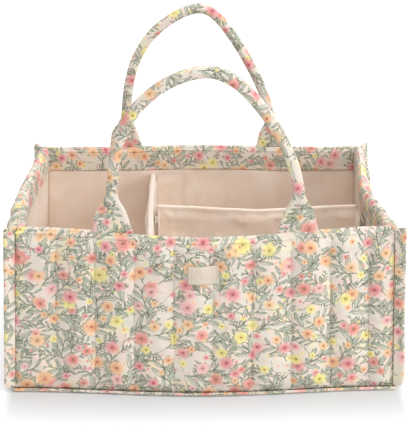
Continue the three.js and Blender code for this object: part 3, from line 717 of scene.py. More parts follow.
# %% A weave group for every cloth
THREAD_HEIGHT, SLUB_HEIGHT = 0.12, 0.1
ALONG_THE_CLOTH = (1.0, 0.35, 1.0)
PUCKER_NOISE, SLUB_NOISE = (95.0, 3.0), (900.0, 2.0)


def make_weave():
    """Group: height of crossed threads and of soft puckers, and a slub mask, on a place in metres."""
    tree, read, result = new_group("weave", "Place Threads Pucker", "Height Slub")
    x, y, _ = split(tree, read["Place"])
    threads = Field(tree, read["Threads"])
    crossing = ((x * threads).math("SINE") * (y * threads).math("SINE")) * 0.5 + 0.5
    stretched = add_node(tree, "ShaderNodeMapping", {"Vector": read["Place"], "Scale": ALONG_THE_CLOTH})
    pucker = noise_field(tree, stretched.outputs[0], *PUCKER_NOISE)
    slub = noise_field(tree, stretched.outputs[0], *SLUB_NOISE)
    feed(tree, result["Height"], crossing * THREAD_HEIGHT + pucker * read["Pucker"] + slub * SLUB_HEIGHT)
    feed(tree, result["Slub"], slub)
    return tree


WEAVE = make_weave()
SLUB_SHADE = colour("#b09a86")


# %% [markdown]
# ## Finishes
# The printed cotton is dull, the satin of the lining shines a little and has a sheen, and foam and board are
# dry. Each could have a shader of its own, but all of them are woven or fibrous, so one function makes them
# from a paint and a short row of values.

# %% A woven material
def new_material(name):
    """A material with its node tree and its Principled shader."""
    material = bpy.data.materials.new(name)
    material.use_nodes = True
    tree = material.node_tree
    return material, tree, tree.nodes["Principled BSDF"]


def cloth_material(name, paint, roughness, threads, pucker, depth, sheen, on_uv=True):
    """A woven cloth: its paint(tree, place) gives the colour, and the weave gives the bump."""
    material, tree, shader = new_material(name)
    if on_uv:
        place = add_node(tree, "ShaderNodeUVMap", uv_map="cloth").outputs[0]
    else:
        place = add_node(tree, "ShaderNodeTexCoord").outputs["Object"]
    weave = use_group(tree, WEAVE, {"Place": place, "Threads": threads, "Pucker": pucker})
    tone = Field(tree, weave["Slub"]).step(0.25, 0.75)
    feed(tree, shader.inputs["Base Color"],
         mixed(tree, tone * 0.06, paint(tree, place), SLUB_SHADE, blend="MULTIPLY"))
    feed(tree, shader.inputs["Roughness"], tone * 0.08 + roughness)
    bump = add_node(tree, "ShaderNodeBump", {"Height": weave["Height"], "Distance": depth, "Strength": 1.0})
    feed(tree, shader.inputs["Normal"], bump.outputs[0])
    for name, value in (("Sheen Weight", sheen), ("Sheen Roughness", 0.5), ("Specular IOR Level", 0.3)):
        shader.inputs[name].default_value = value
    return material


# %% Two kinds of paint
def printed(tree, place):
    """The paint of the flower print."""
    return use_group(tree, FLOWER_PRINT, {"Place": place})["Colour"]


def plain(light, dark, scale=35.0):
    """A paint of two near tones in soft patches."""
    def paint(tree, place):
        return mixed(tree, noise_field(tree, place, scale, 3.0).step(0.3, 0.7), colour(light), colour(dark))
    return paint


# %% The finishes of cloth, thread, foam and board
# Paint, roughness, threads, pucker, depth of the bump in metres, and sheen.
PRINTED_LOOK = printed, 0.82, 9000.0, 0.5, 0.0006, 0.12
SATIN_LOOK = plain("#f4e4d5", "#eedac8"), 0.45, 14000.0, 0.9, 0.0009, 0.35
LABEL_LOOK = plain("#d8ccbe", "#d1c4b4", 120.0), 0.75, 7000.0, 0.2, 0.0003, 0.1
THREAD_LOOK = plain("#f3ebe2", "#e6d9ca", 400.0), 0.7, 20000.0, 0.1, 0.0001, 0.1
FOAM_LOOK = plain("#f0ede6", "#e4dfd5", 300.0), 0.9, 30000.0, 0.3, 0.0003, 0.05
BOARD_LOOK = plain("#bab1a5", "#a99f92", 200.0), 0.85, 9000.0, 0.3, 0.0002, 0.0
TAPE_LOOK = plain("#e4d6c6", "#d3c2af", 900.0), 0.95, 5200.0, 0.6, 0.0007, 0.3

# The finish of a new piece is a material and the record's slot for it. Kept solids have no UV of their own.
PRINTED_COTTON = cloth_material("printed_cotton", *PRINTED_LOOK), "printed_cotton"
BEIGE_SATIN = cloth_material("beige_satin", *SATIN_LOOK), "beige_lining"
LABEL_TAPE = cloth_material("label_tape", *LABEL_LOOK), "woven_label"
THREAD = cloth_material("thread", *THREAD_LOOK), "cream_piping"
FOAM = cloth_material("foam", *FOAM_LOOK, on_uv=False)
BOARD = cloth_material("board", *BOARD_LOOK, on_uv=False)
TAPE = cloth_material("strip_tape", *TAPE_LOOK, on_uv=False)
print("materials:", ", ".join(material.name for material in bpy.data.materials))

# %% [markdown]
# ## Quilted walls
# Each wall is foam between two cloths. The outer cloth is sewn down in upright seams, and the padding swells
# between them. The cloth runs over the rim, where a line of stitching holds a soft welt, and comes down on
# the inside as a printed band. A flat panel with a bump would look thin at the rim, so one closed skin per
# wall carries all of this. Rows run along the wall. Columns run up the outside, over the rim, down the inside
# and back through the hollow where the foam board lies.

# %% Where the seams are
STATIONS, WIDE_CHANNEL = 16, 30.0  # a channel narrower than this gets half as many stations


def seam_shares(wall):
    """Shares along the wall of its corners and of the seams between them."""
    inner = half_of(wall) - NARROWEST_CHANNEL
    first = math.ceil((-inner - wall["seam"]) / CHANNEL_PITCH)
    places = wall["seam"] + CHANNEL_PITCH * np.arange(first, first + 20)
    return np.concatenate([[-1.0], places[places < inner] / half_of(wall), [1.0]])


def wall_shares(wall):
    """Stations along the wall, closer together beside each seam."""
    seams, half = seam_shares(wall), half_of(wall)
    step = 0.5 - 0.5 * np.cos(np.pi * np.linspace(0, 1, STATIONS + 1)[:-1])
    parts = [low + (high - low) * step[::1 if (high - low) * half > WIDE_CHANNEL else 2]
             for low, high in zip(seams, seams[1:])]
    return np.concatenate(parts + [[1.0]])


# %% How the padding swells between them
SWELL_FOOT, SWELL_RISE, SWELL_LIMIT = 5.2, 9.0, 1.08
SLACK, PUCKER, PUCKER_REACH = 0.16, 0.35, 4.5


def channel_swell(wall, share, z, top, seed):
    """The padding's height: 4 f (1 - f) from seam to seam, mixed with its power 0.45, and puckers."""
    seams, half = seam_shares(wall), half_of(wall)
    cell = np.clip(np.searchsorted(seams, share + 1e-9, side="right") - 1, 0, len(seams) - 2)
    span = seams[cell + 1] - seams[cell]
    fraction = (share - seams[cell]) / span
    arch = 4 * fraction * (1 - fraction)
    across = 0.66 * arch + 0.34 * np.maximum(arch, 0) ** 0.45
    narrow = np.minimum(span * half / CHANNEL_PITCH, 1.0)
    rise = np.clip((z - SWELL_FOOT) / SWELL_RISE, 0, 1) * np.clip((top - STITCH_DROP - z) / SWELL_RISE, 0, 1)
    fade = np.sin(np.pi / 2 * np.clip(rise, 0, 1)) ** 0.7
    slack = 1 + SLACK * smooth_noise(share * half, z, 27.0, seed + 1)
    distance = np.minimum(fraction, 1 - fraction) * span * half
    waves = np.sin(z * 0.72 + 9 * smooth_noise(share * half, z, 30.0, seed + 2))
    pull = np.exp(-distance / PUCKER_REACH) * (PUCKER * waves)
    swell = np.clip(CHANNEL_CROWN * narrow ** 0.6 * across * slack, 0, CHANNEL_CROWN * SWELL_LIMIT)
    return swell * fade + pull * fade


# %% The section of a wall
RIM_ROUND, SKIN_GAP, WELT_DIP = 2.6, 0.1, 0.9
RIM_FRONT, RIM_BACK, BAND_DEPTH, BOARD_FACE = 1.7, 6.9, 8.25, 2.66  # depths inward from the bare wall
FACE_STEPS = 60
OUTSIDE_COLUMNS = 2 * FACE_STEPS - 1
RIM_TOP_COLUMN = OUTSIDE_COLUMNS + 12
INNER_STITCH_COLUMN, HEM_STITCH_COLUMN = 142, 155


def wall_section(top):
    """Height and depth of the skin's section, outside first; each row of the result is one station."""
    one, top = np.ones_like(top)[:, None], top[:, None]
    stitch, hem, foot = top - STITCH_DROP, top - FACING_HEIGHT, WALL_FOOT + SKIN_GAP
    rise = np.sin(quarter(FACE_STEPS)) * 0.5
    face = np.concatenate([rise, 1 - rise[-2::-1]])[None]
    welt = np.linspace(0, 1, 7)[None]
    up, inside, down = welt[:, 1:], welt[:, :-1], np.linspace(0, 1, 16)[None]
    turn = np.linspace(0, np.pi, 13)[None, 1:-1]
    strips = [
        (foot + (stitch - WALL_FOOT - SKIN_GAP) * face, 0 * face),
        (stitch + (STITCH_DROP - RIM_ROUND) * up, RIM_FRONT * up ** 1.4 - WELT_DIP * np.sin(np.pi * up)),
        (top - RIM_ROUND + RIM_ROUND * np.sin(turn), RIM_FRONT + RIM_ROUND - RIM_ROUND * np.cos(turn)),
        (top - RIM_ROUND - (STITCH_DROP - RIM_ROUND) * inside,
         RIM_BACK + 1.35 * inside + 0.5 * np.sin(np.pi * inside)),
        (stitch - (FACING_HEIGHT - STITCH_DROP) * down, BAND_DEPTH + 0.25 * np.sin(np.pi * down)),
        # From here on nobody sees the skin: it goes up behind the band and down along the foam board.
        (hem - 0.5, 7.9), (hem - 0.4, 7.4), (hem + 3, 7.15), (hem + 10, 6.3), (top - 3, 6.2),
        (top - 1.25, 5.9), (top - 1.2, 2.8), (stitch, BOARD_FACE), (0.5 * stitch, BOARD_FACE),
        (foot, BOARD_FACE)]
    return tuple(np.concatenate([strip[part] * one for strip in strips], axis=1) for part in (0, 1))


# %% The skin of a wall before it settles
CORNER_FADE, RIPPLE, BAND_SLACK, SEAM_DRIFT = 0.02, 0.45, 0.5, 0.7
GROOVE_WIDTH, WIDENING, TENSION = 1.1, 0.5, 0.6


def wall_relief(wall, share, top, seed):
    """Height and depth of the skin: its section with swells, a groove at the stitches, ripples and slack."""
    z, depth = wall_section(top)
    around, top = np.arange(z.shape[1]), top[:, None] + 0 * z
    run = (share[:, None] + 0 * z) * half_of(wall)
    corner = soft_step(1 - np.abs(share[:, None] + 0 * z), 0.0, CORNER_FADE)
    swell = channel_swell(wall, share[:, None] + 0 * z, z, top, seed)
    depth = np.where(around < OUTSIDE_COLUMNS, depth - swell * corner, depth)
    tension = TENSION + TENSION * smooth_noise(run, 0 * z, 3.1, seed + 6)
    groove = bump_at(z - top + STITCH_DROP, 0, GROOVE_WIDTH + WIDENING * tension) * tension
    seen_out = around < RIM_TOP_COLUMN - 8
    seen_in = (around > RIM_TOP_COLUMN) & (around < RIM_TOP_COLUMN + 24)
    depth = depth + np.where(seen_out, groove, 0) - np.where(seen_in, 0.5 * groove, 0)
    ripple = RIPPLE * smooth_noise(run, z, 9.0, seed + 5)
    ripple = ripple * soft_step(z, top - STITCH_DROP - 1, top - STITCH_DROP + 2)
    z = z + np.where(around < RIM_TOP_COLUMN + 12, ripple, 0) * corner
    facing = (around > RIM_TOP_COLUMN + 8) & (around < RIM_TOP_COLUMN + 26)
    return z, depth + np.where(facing, BAND_SLACK * smooth_noise(run, z, 24.0, seed + 8) * corner, 0)


def wall_flare(wall, share, z):
    """How far the skin leans out near the wall's ends: more with height, and less once it is over the rim."""
    over_rim = 1 - soft_step(np.arange(z.shape[1]), RIM_TOP_COLUMN - 6, RIM_TOP_COLUMN + 5)
    return near_ends(share, wall["flares"], FLARE_REACH) * soft_step(z, 20, 150) * over_rim


# %% Letting the outer cloth of a wall settle
WALL_PRESSURE, WALL_GROWTH, WALL_MOVE = 1.2, 0.03, 1.6


def crown_of(wall, points):
    """How far points stand out from the bare wall: their reach less the wall's own reach there."""
    along = points[..., :2] @ np.array(wall["along"], float)
    share = np.clip(along / half_run(wall, points[..., 2]), -1, 1)
    return points[..., :2] @ np.array(wall["out"], float) - wall_reach(wall, share, points[..., 2], 0.0)


def settled_face(wall, face, seam):
    """The outer cloth after it settled, pinned at seams and edges; what sank into the foam is moved out."""
    held = seam[:, None] | (np.arange(OUTSIDE_COLUMNS) % (OUTSIDE_COLUMNS - 1) < 2)[None]
    held[[0, 1, -2, -1]] = True
    face = settled(face[:, ::-1], held[:, ::-1], WALL_PRESSURE, WALL_GROWTH, WALL_MOVE)[:, ::-1]
    return face + np.maximum(-crown_of(wall, face), 0)[..., None] * outward(wall)


def wall_dashes(wall, points, seam):
    """Stitches up each seam, along the rim outside and inside, and along the hem of the band."""
    out, stitched = outward(wall), slice(2, len(points) - 2)
    rows = [dashes(points[row, 3:OUTSIDE_COLUMNS - 3], out) for row in np.flatnonzero(seam)[1:-1]]
    rows.append(dashes(points[stitched, OUTSIDE_COLUMNS - 1], out))
    inner = (INNER_STITCH_COLUMN, HEM_STITCH_COLUMN)
    return rows + [dashes(points[stitched, column], -out) for column in inner]


# %% How the print lies on a wall
PRINT_OFFSETS = {"front": 0.0, "right": 410.0, "back": 830.0, "left": 1240.0}
FACING_OFFSET = 300


def wall_uv(name, share, z, depth):
    """Run along the wall and length walked round its section. The print starts anew on the inner band."""
    walked = np.cumsum(np.hypot(np.diff(z, prepend=z[:, :1]), np.diff(depth, prepend=depth[:, :1])), axis=1)
    outer = walked + WALL_FOOT
    band = FACING_OFFSET + RIM_HEIGHT - (walked - walked[:, [RIM_TOP_COLUMN]])
    v = np.where(np.arange(z.shape[1]) < RIM_TOP_COLUMN, outer, band)
    v_end = np.roll(v, -1, axis=1)
    v_end[:, RIM_TOP_COLUMN - 1] = outer[:, RIM_TOP_COLUMN]
    return grid_uv(PRINT_OFFSETS[name] + share * half_of(WALLS[name]), v, v_end=v_end)


# %% The four quilted walls
seam_dashes, outer_faces = [], {}


def quilted_wall(name, seed):
    """The closed skin of one wall, with its outer cloth settled, its stitches and its print."""
    wall, half = WALLS[name], half_of(WALLS[name])
    stations = wall_shares(wall)
    z, depth = wall_relief(wall, stations, rim_at(wall, stations), seed)
    share, outer = stations[:, None] + 0 * z, np.arange(z.shape[1]) < OUTSIDE_COLUMNS
    drift = SEAM_DRIFT * smooth_noise(share * half, z, 34.0, seed + 3) * (1 - share ** 8) * outer
    flare = wall_flare(wall, share, z)
    points = wall_point(wall, share + drift / half, z, depth) + flare[..., None] * outward(wall)
    seam = np.abs(stations[:, None] - seam_shares(wall)[None]).min(axis=1) < 1e-6
    points[:, :OUTSIDE_COLUMNS] = settled_face(wall, points[:, :OUTSIDE_COLUMNS], seam)
    outer_faces[name] = points[:, :OUTSIDE_COLUMNS]
    crown = crown_of(wall, outer_faces[name])
    print(f"{name} wall: stands {np.median(crown[:, FACE_STEPS]):.1f} mm proud, {crown.max():.1f} mm at most")
    seam_dashes.extend(wall_dashes(wall, points, seam))
    uv = wall_uv(name, share, z, np.where(outer, 0, depth) - flare)
    return new_piece(f"{name}_quilted_cloth", points, uv, PRINTED_COTTON, "caddy",
                     replaces=(f"{name}_outer_panel", f"{name}_facing"))


for name, seed in zip(WALLS, (11, 23, 37, 51)):
    quilted_wall(name, seed)
stitching("wall_stitching", seam_dashes, "caddy")

# %% [markdown]
# ## Lining
# The lining is a smooth cotton satin that hangs loosely inside. Each wall has its own thin closed sheet,
# because a sheet of one layer has no edge that can be seen. Its top slips behind the printed band, and it
# bulges a little between the places where it is caught. The floor has such a sheet too, and so has the
# outside of the base.

# %% The lining of the walls
TUCK, LINING_GAP, THINNEST = 2.6, 0.15, 0.35


def lining_sheet(name, seed):
    """A thin closed sheet on a wall: flat at its edges, with three sizes of soft folds between them."""
    wall, half = WALLS[name], half_of(WALLS[name])
    share = np.linspace(-1, 1, 121 if wall["wide"] else 81)[:, None]
    top = rim_at(wall, share) - FACING_HEIGHT + TUCK
    height = LINING_FOOT + (top - LINING_FOOT) * np.linspace(0, 1, 60)[None]
    tucked = soft_step(height, top - 5.5, top - 2.6)
    folds = 0.5 * smooth_noise(share * half, height * 0.6, 46.0, seed)
    folds = folds + 0.22 * smooth_noise(share * half, height, 19.0, seed + 1)
    folds = folds + 0.22 * smooth_noise(share * half, height * 0.22, 11.0, seed + 2)
    calm = soft_step(1 - np.abs(share), 0.0, 0.06) * soft_step(height, LINING_FOOT, LINING_FOOT + 12)
    inner = LINING_BACK - LINING_GAP + (folds - 0.35) * calm * (1 - tucked) - 0.65 * tucked
    outer = np.minimum(LINING_FACE + 0 * inner, inner - THINNEST)
    z, depth = there_and_back(height, height), there_and_back(inner, outer)
    share = share + 0 * z
    piece = new_piece(f"{name}_lining_cloth", wall_point(wall, share, z, depth, end_gap=0.3),
                      grid_uv(PRINT_OFFSETS[name] + share * half, z), BEIGE_SATIN, "caddy",
                      replaces=(f"{name}_lining",))
    return (piece, 2 * half * MM)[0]


for name, seed in zip(WALLS, (61, 67, 71, 79)):
    lining_sheet(name, seed)


# %% The floor lining and the outer cloth of the base
def floor_points(s, t, z, depth):
    """A place on a level sheet: s and t run from side to side, and its edges follow the bowed walls."""
    x_edge = np.where(s > 0, wall_reach(WALLS["right"], t, z, depth), wall_reach(WALLS["left"], t, z, depth))
    y_edge = np.where(t > 0, wall_reach(WALLS["back"], s, z, depth), wall_reach(WALLS["front"], s, z, depth))
    return np.stack([s * x_edge, t * y_edge, z], axis=-1)


def level_sheet(name, foot, top, depth, wave, finish, replaces, seed):
    """A closed level sheet: its upper side waves softly and meets its lower side at the edge."""
    s, t = np.meshgrid(np.linspace(-1, 1, 81), np.linspace(-1, 1, 57), indexing="ij")
    rise = soft_step(np.minimum(1 - np.abs(s), 1 - np.abs(t)), 0.0, 0.02)
    dips = wave * rise * (0.5 + 0.5 * smooth_noise(s * 180, t * 120, 52.0, seed))
    upper = floor_points(s, t, foot + 0.25 + (top - foot - 0.25) * rise - dips, depth)
    lower = floor_points(s, t, foot + 0 * s, depth)
    index = np.arange(s.size).reshape(s.shape)
    loop = np.concatenate([index[:-1, 0], index[-1, :-1], index[:0:-1, -1], index[0, :0:-1]])
    after = np.roll(loop, -1)
    edge = np.stack([loop, loop + s.size, after + s.size, after], axis=1)
    flat = grid_faces(*s.shape, wrap_columns=False)
    faces = np.concatenate([flat, flat[:, ::-1] + s.size, edge])
    uv = np.stack([s * BASE_HALF_WIDTH, t * HALF_DEPTH + 600], -1).reshape(-1, 2)
    points = np.concatenate([upper.reshape(-1, 3), lower.reshape(-1, 3)])
    return new_piece(name, points, np.concatenate([uv, uv])[faces], finish, "caddy", replaces, faces)


floor_cloth = level_sheet("floor_lining_cloth", FLOOR_FOOT, FLOOR_TOP + 0.2, LINING_FACE + 0.4, 0.5,
                          BEIGE_SATIN, ("base_floor_lining",), 83)
level_sheet("base_cloth", 0.05, 2.5, 0.3, 0.2, PRINTED_COTTON, ("base_outer_panel",), 89)

# %% [markdown]
# ## Corner flanges
# At each corner the two walls' seam allowances are folded together and stand out, bound into one flat padded
# strip. The front strips lie nearly along the front wall, as in the photo, and the back ones stand on the
# diagonal. Their top ends rise a little above the rim as small ears. A bevelled box would be too even, so a
# flat rounded section is carried up the corner, and its reach and its thickness change with the height.

# %% The section of a corner flange
FLANGE_REACH, FLANGE_THICKNESS, FLANGE_SLANT, FLANGE_FOOT = 13.5, 4.5, 2.4, 5.2
FRONT_FLANGE = dict(ear=1.0, reach=0.8, thickness=1, turn=math.radians(22))
BACK_FLANGE = dict(ear=3.0, reach=0.98, thickness=0.75, turn=math.radians(45))
FLANGES = {"front_left": (-1, -1, FRONT_FLANGE), "front_right": (1, -1, FRONT_FLANGE),
           "back_left": (-1, 1, BACK_FLANGE), "back_right": (1, 1, BACK_FLANGE)}


def softened(values, power):
    """Keeps the sign of each value and raises its size to a power, which makes a round section boxier."""
    return np.sign(values) * np.abs(values) ** power


def flange_section(kind, z, seed):
    """Reach outward and aside: a boxy oval with a seam, which closes at the foot and at the ear."""
    ear, angle = kind["ear"], np.linspace(0, 2 * np.pi, 25)[:-1]
    reach = FLANGE_REACH * (0.62 + 0.38 * np.sqrt(np.clip((z - FLANGE_FOOT) / 6, 0, 1))) * kind["reach"]
    reach = reach * (1 - 0.16 * np.clip((z - RIM_HEIGHT + 2.5) / (ear + 2.5), 0, 1) ** 2)
    reach = reach + 0.5 * smooth_noise(z, 0 * z, 16.0, seed)
    from_end = np.minimum(z - FLANGE_FOOT + 0.3, RIM_HEIGHT + ear - z + 0.3)
    half = FLANGE_THICKNESS / 2 * np.sqrt(np.clip(from_end / 2.2, 0.08, 1)) * kind["thickness"]
    along, across = 0.5 + 0.5 * softened(np.cos(angle), 0.45), softened(np.sin(angle), 0.62)
    seam = 1 - 0.36 * bump_at((along - 0.2) * FLANGE_REACH, 0, 1.1)
    puff = 1 + 0.12 * smooth_noise(z[:, None] + 0 * along, along * 14 + 3 * seed, 9.0, seed + 3)
    wander = 0.5 * smooth_noise(z, 0 * z, 40.0, seed + 4)[:, None]
    side = half[:, None] * (across * seam)[None] * puff + wander
    return along, across, reach[:, None] * along[None] + 0.2, side


# %% Four corner flanges
def corner_flange(name, side_x, side_y, kind, seed):
    """The section carried up the corner seam, turned outward by the flange's own angle."""
    ear = kind["ear"]
    z = np.concatenate([FLANGE_FOOT + 7 * (1 - np.cos(quarter(9))), np.linspace(14, RIM_HEIGHT - 6, 56),
                        RIM_HEIGHT - 4 + (ear + 4) * np.sin(quarter(9))])
    along, across, out, side = flange_section(kind, z, seed)
    ahead = np.array([side_x * math.cos(kind["turn"]), side_y * math.sin(kind["turn"])])
    aside = np.array([-ahead[1], ahead[0]])
    corner = np.stack([side_x * half_width(z), side_y * HALF_DEPTH + 0 * z], -1)[:, None]
    plan = corner + out[..., None] * ahead + side[..., None] * aside
    slant = FLANGE_SLANT * (along[None] - 0.75) * soft_step(z, RIM_HEIGHT - 12, RIM_HEIGHT)[:, None]
    z = z[:, None] + slant
    girth = np.where(across >= 0, 1, -1)[None] * (FLANGE_REACH + 2 - out)
    piece = new_piece(f"{name}_flange_cloth", np.concatenate([plan, z[..., None]], axis=-1),
                      grid_uv(PRINT_OFFSETS["front"] + 29.0 * seed + girth, z + 47.0 * seed),
                      PRINTED_COTTON, "caddy", replaces=(f"{name}_flange",))
    return piece


for seed, (name, (side_x, side_y, kind)) in enumerate(FLANGES.items(), start=2):
    corner_flange(name, side_x, side_y, kind, seed)

# %% [markdown]
# ## Piping
# A cord in a tube of the printed cloth covers the seam between the walls and the base. It could be a curve
# with a round bevel, but a grid carries the print and lets the girth vary a little. So a round section
# follows the outline of the base and closes on itself.

# %% Piping round the foot
PIPING_RADIUS, PIPING_MIDDLE, PIPING_OUTSET, PIPING_PRESSED = 1.6, 2.3, 1.95, 0.98


def foot_line(outset, step=3.0):
    """The base outline set outward, with quarter arcs at its corners: plan points and directions out."""
    plans, normals = [], []
    for wall in WALLS.values():
        half = BASE_HALF_WIDTH if wall["wide"] else HALF_DEPTH
        share = np.linspace(-1, 1, int(2 * half / step))
        edge = wall_point(wall, share, 0.0, 0.0, end_gap=0.0)[:, :2]
        out, along = (np.array(wall[part], float) for part in ("out", "along"))
        arc = np.linspace(0, np.pi / 2, 8)[1:-1, None]
        round_corner = np.cos(arc) * out + np.sin(arc) * along
        plans += [edge + outset * out, edge[-1] + outset * round_corner]
        normals += [np.tile(out, (len(share), 1)), round_corner]
    return np.concatenate(plans), np.concatenate(normals)


# %% The piping itself
def piping():
    """A round section of that radius, carried round the foot line and closed on itself."""
    plan, normal = foot_line(PIPING_OUTSET)
    run = np.concatenate([[0], np.cumsum(np.linalg.norm(np.diff(plan, axis=0), axis=1))])
    angle = np.linspace(0, 2 * np.pi, 17)[:-1]
    radius = PIPING_RADIUS * (1 + 0.05 * smooth_noise(run, 0 * run, 12.0, 97))[:, None]
    plan = plan[:, None] + normal[:, None] * (radius * np.cos(angle))[..., None]
    z = PIPING_MIDDLE + PIPING_PRESSED * radius * np.sin(angle)
    points = np.concatenate([plan, z[..., None]], axis=-1)
    uv = grid_uv(run[:, None] + 0 * z, angle * PIPING_RADIUS + 0 * z, wrap_rows=True)
    return new_piece("foot_piping", points, uv, PRINTED_COTTON, "caddy", replaces=("base_piping",),
                     faces=grid_faces(*z.shape, wrap_rows=True))


piping()

# %% [markdown]
# ## Label
# A short piece of woven tape is sewn to the front at its two short sides. Here it is a thin closed slab that
# lies on the swells of the cloth, because a decal would have no edge to catch the light. It stays bare.

# %% The label
LABEL_MIDDLE, LABEL_WIDTH, LABEL_HEIGHT, LABEL_THICKNESS = (-2.4, 131.6), 28.3, 18.5, 1.1
LABEL_GAP, LABEL_EDGE, LABEL_SEAM = 0.15, 0.7, 0.86  # the seam's place as a share of half the width
LABEL_THREAD = dict(pitch=2.3, length=1.7, radius=0.24)
COLUMN_UNDER_LABEL, SMOOTHING = 70, 13


def lift_under_label(x):
    """How far the front cloth stands out under the label: its highest crown at each x, evened out."""
    cloth = outer_faces["front"]
    under = np.abs(cloth[:, :, 2] - LABEL_MIDDLE[1]) < LABEL_HEIGHT / 2 + 1
    crown = np.where(under, crown_of(WALLS["front"], cloth), 0).max(axis=1)
    lift = np.interp(x, cloth[:, COLUMN_UNDER_LABEL, 0], crown)
    kernel = np.ones(SMOOTHING) / SMOOTHING
    return np.maximum(np.convolve(np.pad(lift, SMOOTHING // 2, mode="edge"), kernel, mode="valid"), lift)


def label():
    """A closed slab that bridges the cloth's swells and is pulled down along its sewn ends."""
    across, up = np.linspace(-1, 1, 41)[:, None], np.linspace(-1, 1, 19)[None]
    x = LABEL_MIDDLE[0] + across * LABEL_WIDTH / 2
    z = LABEL_MIDDLE[1] + up * LABEL_HEIGHT / 2 + 0.25 * across * up + 0.2 * smooth_noise(x, 0 * up, 9.0, 5)
    edge = np.minimum((1 - np.abs(across)) * LABEL_WIDTH, (1 - np.abs(up)) * LABEL_HEIGHT) / 2
    near_edge = np.clip(edge / LABEL_EDGE, 0, 1)
    round_edge = np.sqrt(near_edge * (2 - near_edge))
    sewn = bump_at((np.abs(across) - LABEL_SEAM) * LABEL_WIDTH / 2, 0, 0.8)
    puff = 0.35 * (1 - across ** 2) * (1 - up ** 2)
    lift = lift_under_label(x[:, 0])[:, None] + 0.2
    slab = (LABEL_THICKNESS - LABEL_GAP) * (0.35 + 0.65 * round_edge)
    face = -(lift + LABEL_GAP + slab + puff - 0.35 * sewn)
    depth, z = there_and_back(face, -(lift + 0 * face)), there_and_back(z, z)
    points = wall_point(WALLS["front"], x / half_width(LABEL_MIDDLE[1]) + 0 * z, z, depth)
    ends = [int(np.abs(across[:, 0] - side * LABEL_SEAM).argmin()) for side in (-1, 1)]
    threads = [dashes(points[row, 1:18], outward(WALLS["front"]), **LABEL_THREAD) for row in ends]
    stitching("label_stitching", threads, "caddy")
    return new_piece("label_tape", points, grid_uv(x + 0 * z, z), LABEL_TAPE, "caddy",
                     replaces=("label_tab",))


label()

# %% [markdown]
# ## Handles
# Each handle is a tube of the printed cloth over a rope. At both ends the rope stops, and the empty tube is
# pressed flat and spreads into a bell that is sewn into the rim. The tube's roundness fades down the middle
# of the bell as a ridge. Cover and tabs could be separate meshes, but then a line would show where the cloth
# runs on, so one skin stands for both. The cloth bends at the rim when the handle swings.

# %% The handle's middle line
TUBE_RADIUS, TAB_HALF_WIDTH, TAB_HALF_THICKNESS, TAB_HEIGHT, TAIL_LENGTH = 5.25, 19.5, 1.3, 38.0, 12.0
LEAN = math.radians(4)
HANDLES = {
    "front": dict(half_span=87.0, middle=0.0, leg=24.0, rise=129.0, skew=6.4, taper=1.13, out=-1.0,
                  pivot=(-124.957, 174.558)),
    "back": dict(half_span=82.0, middle=-2.7, leg=6.0, rise=148.0, skew=9.1, taper=1.22, out=1.0,
                 pivot=(120.902, 175.941)),
}


def handle_line(handle, step=1.6):
    """Evenly spaced points of the arch in its own plane: x = span cos t ** taper - skew sin(2 t) ** 2."""
    t = np.linspace(np.pi, 0, 900)
    x = handle["middle"] + handle["half_span"] * softened(np.cos(t), handle["taper"])
    x = x - handle["skew"] * np.sin(2 * t) ** 2
    h = handle["leg"] + handle["rise"] * np.sin(t)
    x = np.concatenate([[x[0], x[0]], x, [x[-1], x[-1]]])
    h = np.concatenate([[-TAIL_LENGTH, 0], h, [0, -TAIL_LENGTH]])
    run = np.concatenate([[0], np.cumsum(np.hypot(np.diff(x), np.diff(h)))])
    even = np.linspace(0, run[-1], int(run[-1] / step))
    x, h = np.interp(even, run, x), np.interp(even, run, h)
    kernel = np.hanning(17)[1:-1] / np.hanning(17)[1:-1].sum()
    for line in (x, h):
        line[7:-7] = np.convolve(line, kernel, mode="valid")
    return x, h, even


# %% The bell's profile
# How far the bell has narrowed to the tube, at shares of the tab's height.
BELL_SHARES = (-1.0, -0.3, -0.1, 0, 0.25, 0.42, 0.52, 0.62, 0.74, 0.88, 1.3)
BELL_NARROWING = (0, 0, 0.05, 0.12, 0.27, 0.38, 0.49, 0.67, 0.88, 0.985, 1.0)


def bell_profile(height):
    """Half width and half thickness of the flat cloth, and how far the tube's round ridge has risen."""
    share = np.linspace(-0.4, 1.3, 80)
    narrowing = np.pad(np.interp(share, BELL_SHARES, BELL_NARROWING), 3, mode="edge")
    close = np.interp(height / TAB_HEIGHT, share, np.convolve(narrowing, np.ones(7) / 7, mode="valid"))
    wide = TAB_HALF_WIDTH + (TUBE_RADIUS - TAB_HALF_WIDTH) * close
    thick = TAB_HALF_THICKNESS + (TUBE_RADIUS - TAB_HALF_THICKNESS) * close ** 2.2
    return wide[:, None], thick[:, None], soft_step(height / TAB_HEIGHT, 0.02, 1.0)[:, None]


# %% The handle's section
SEAM_ANGLE, SEAM_WIDTH, SEAM_DEPTH, RIDGE_ASIDE = 4.3, 0.22, 0.4, 1.8


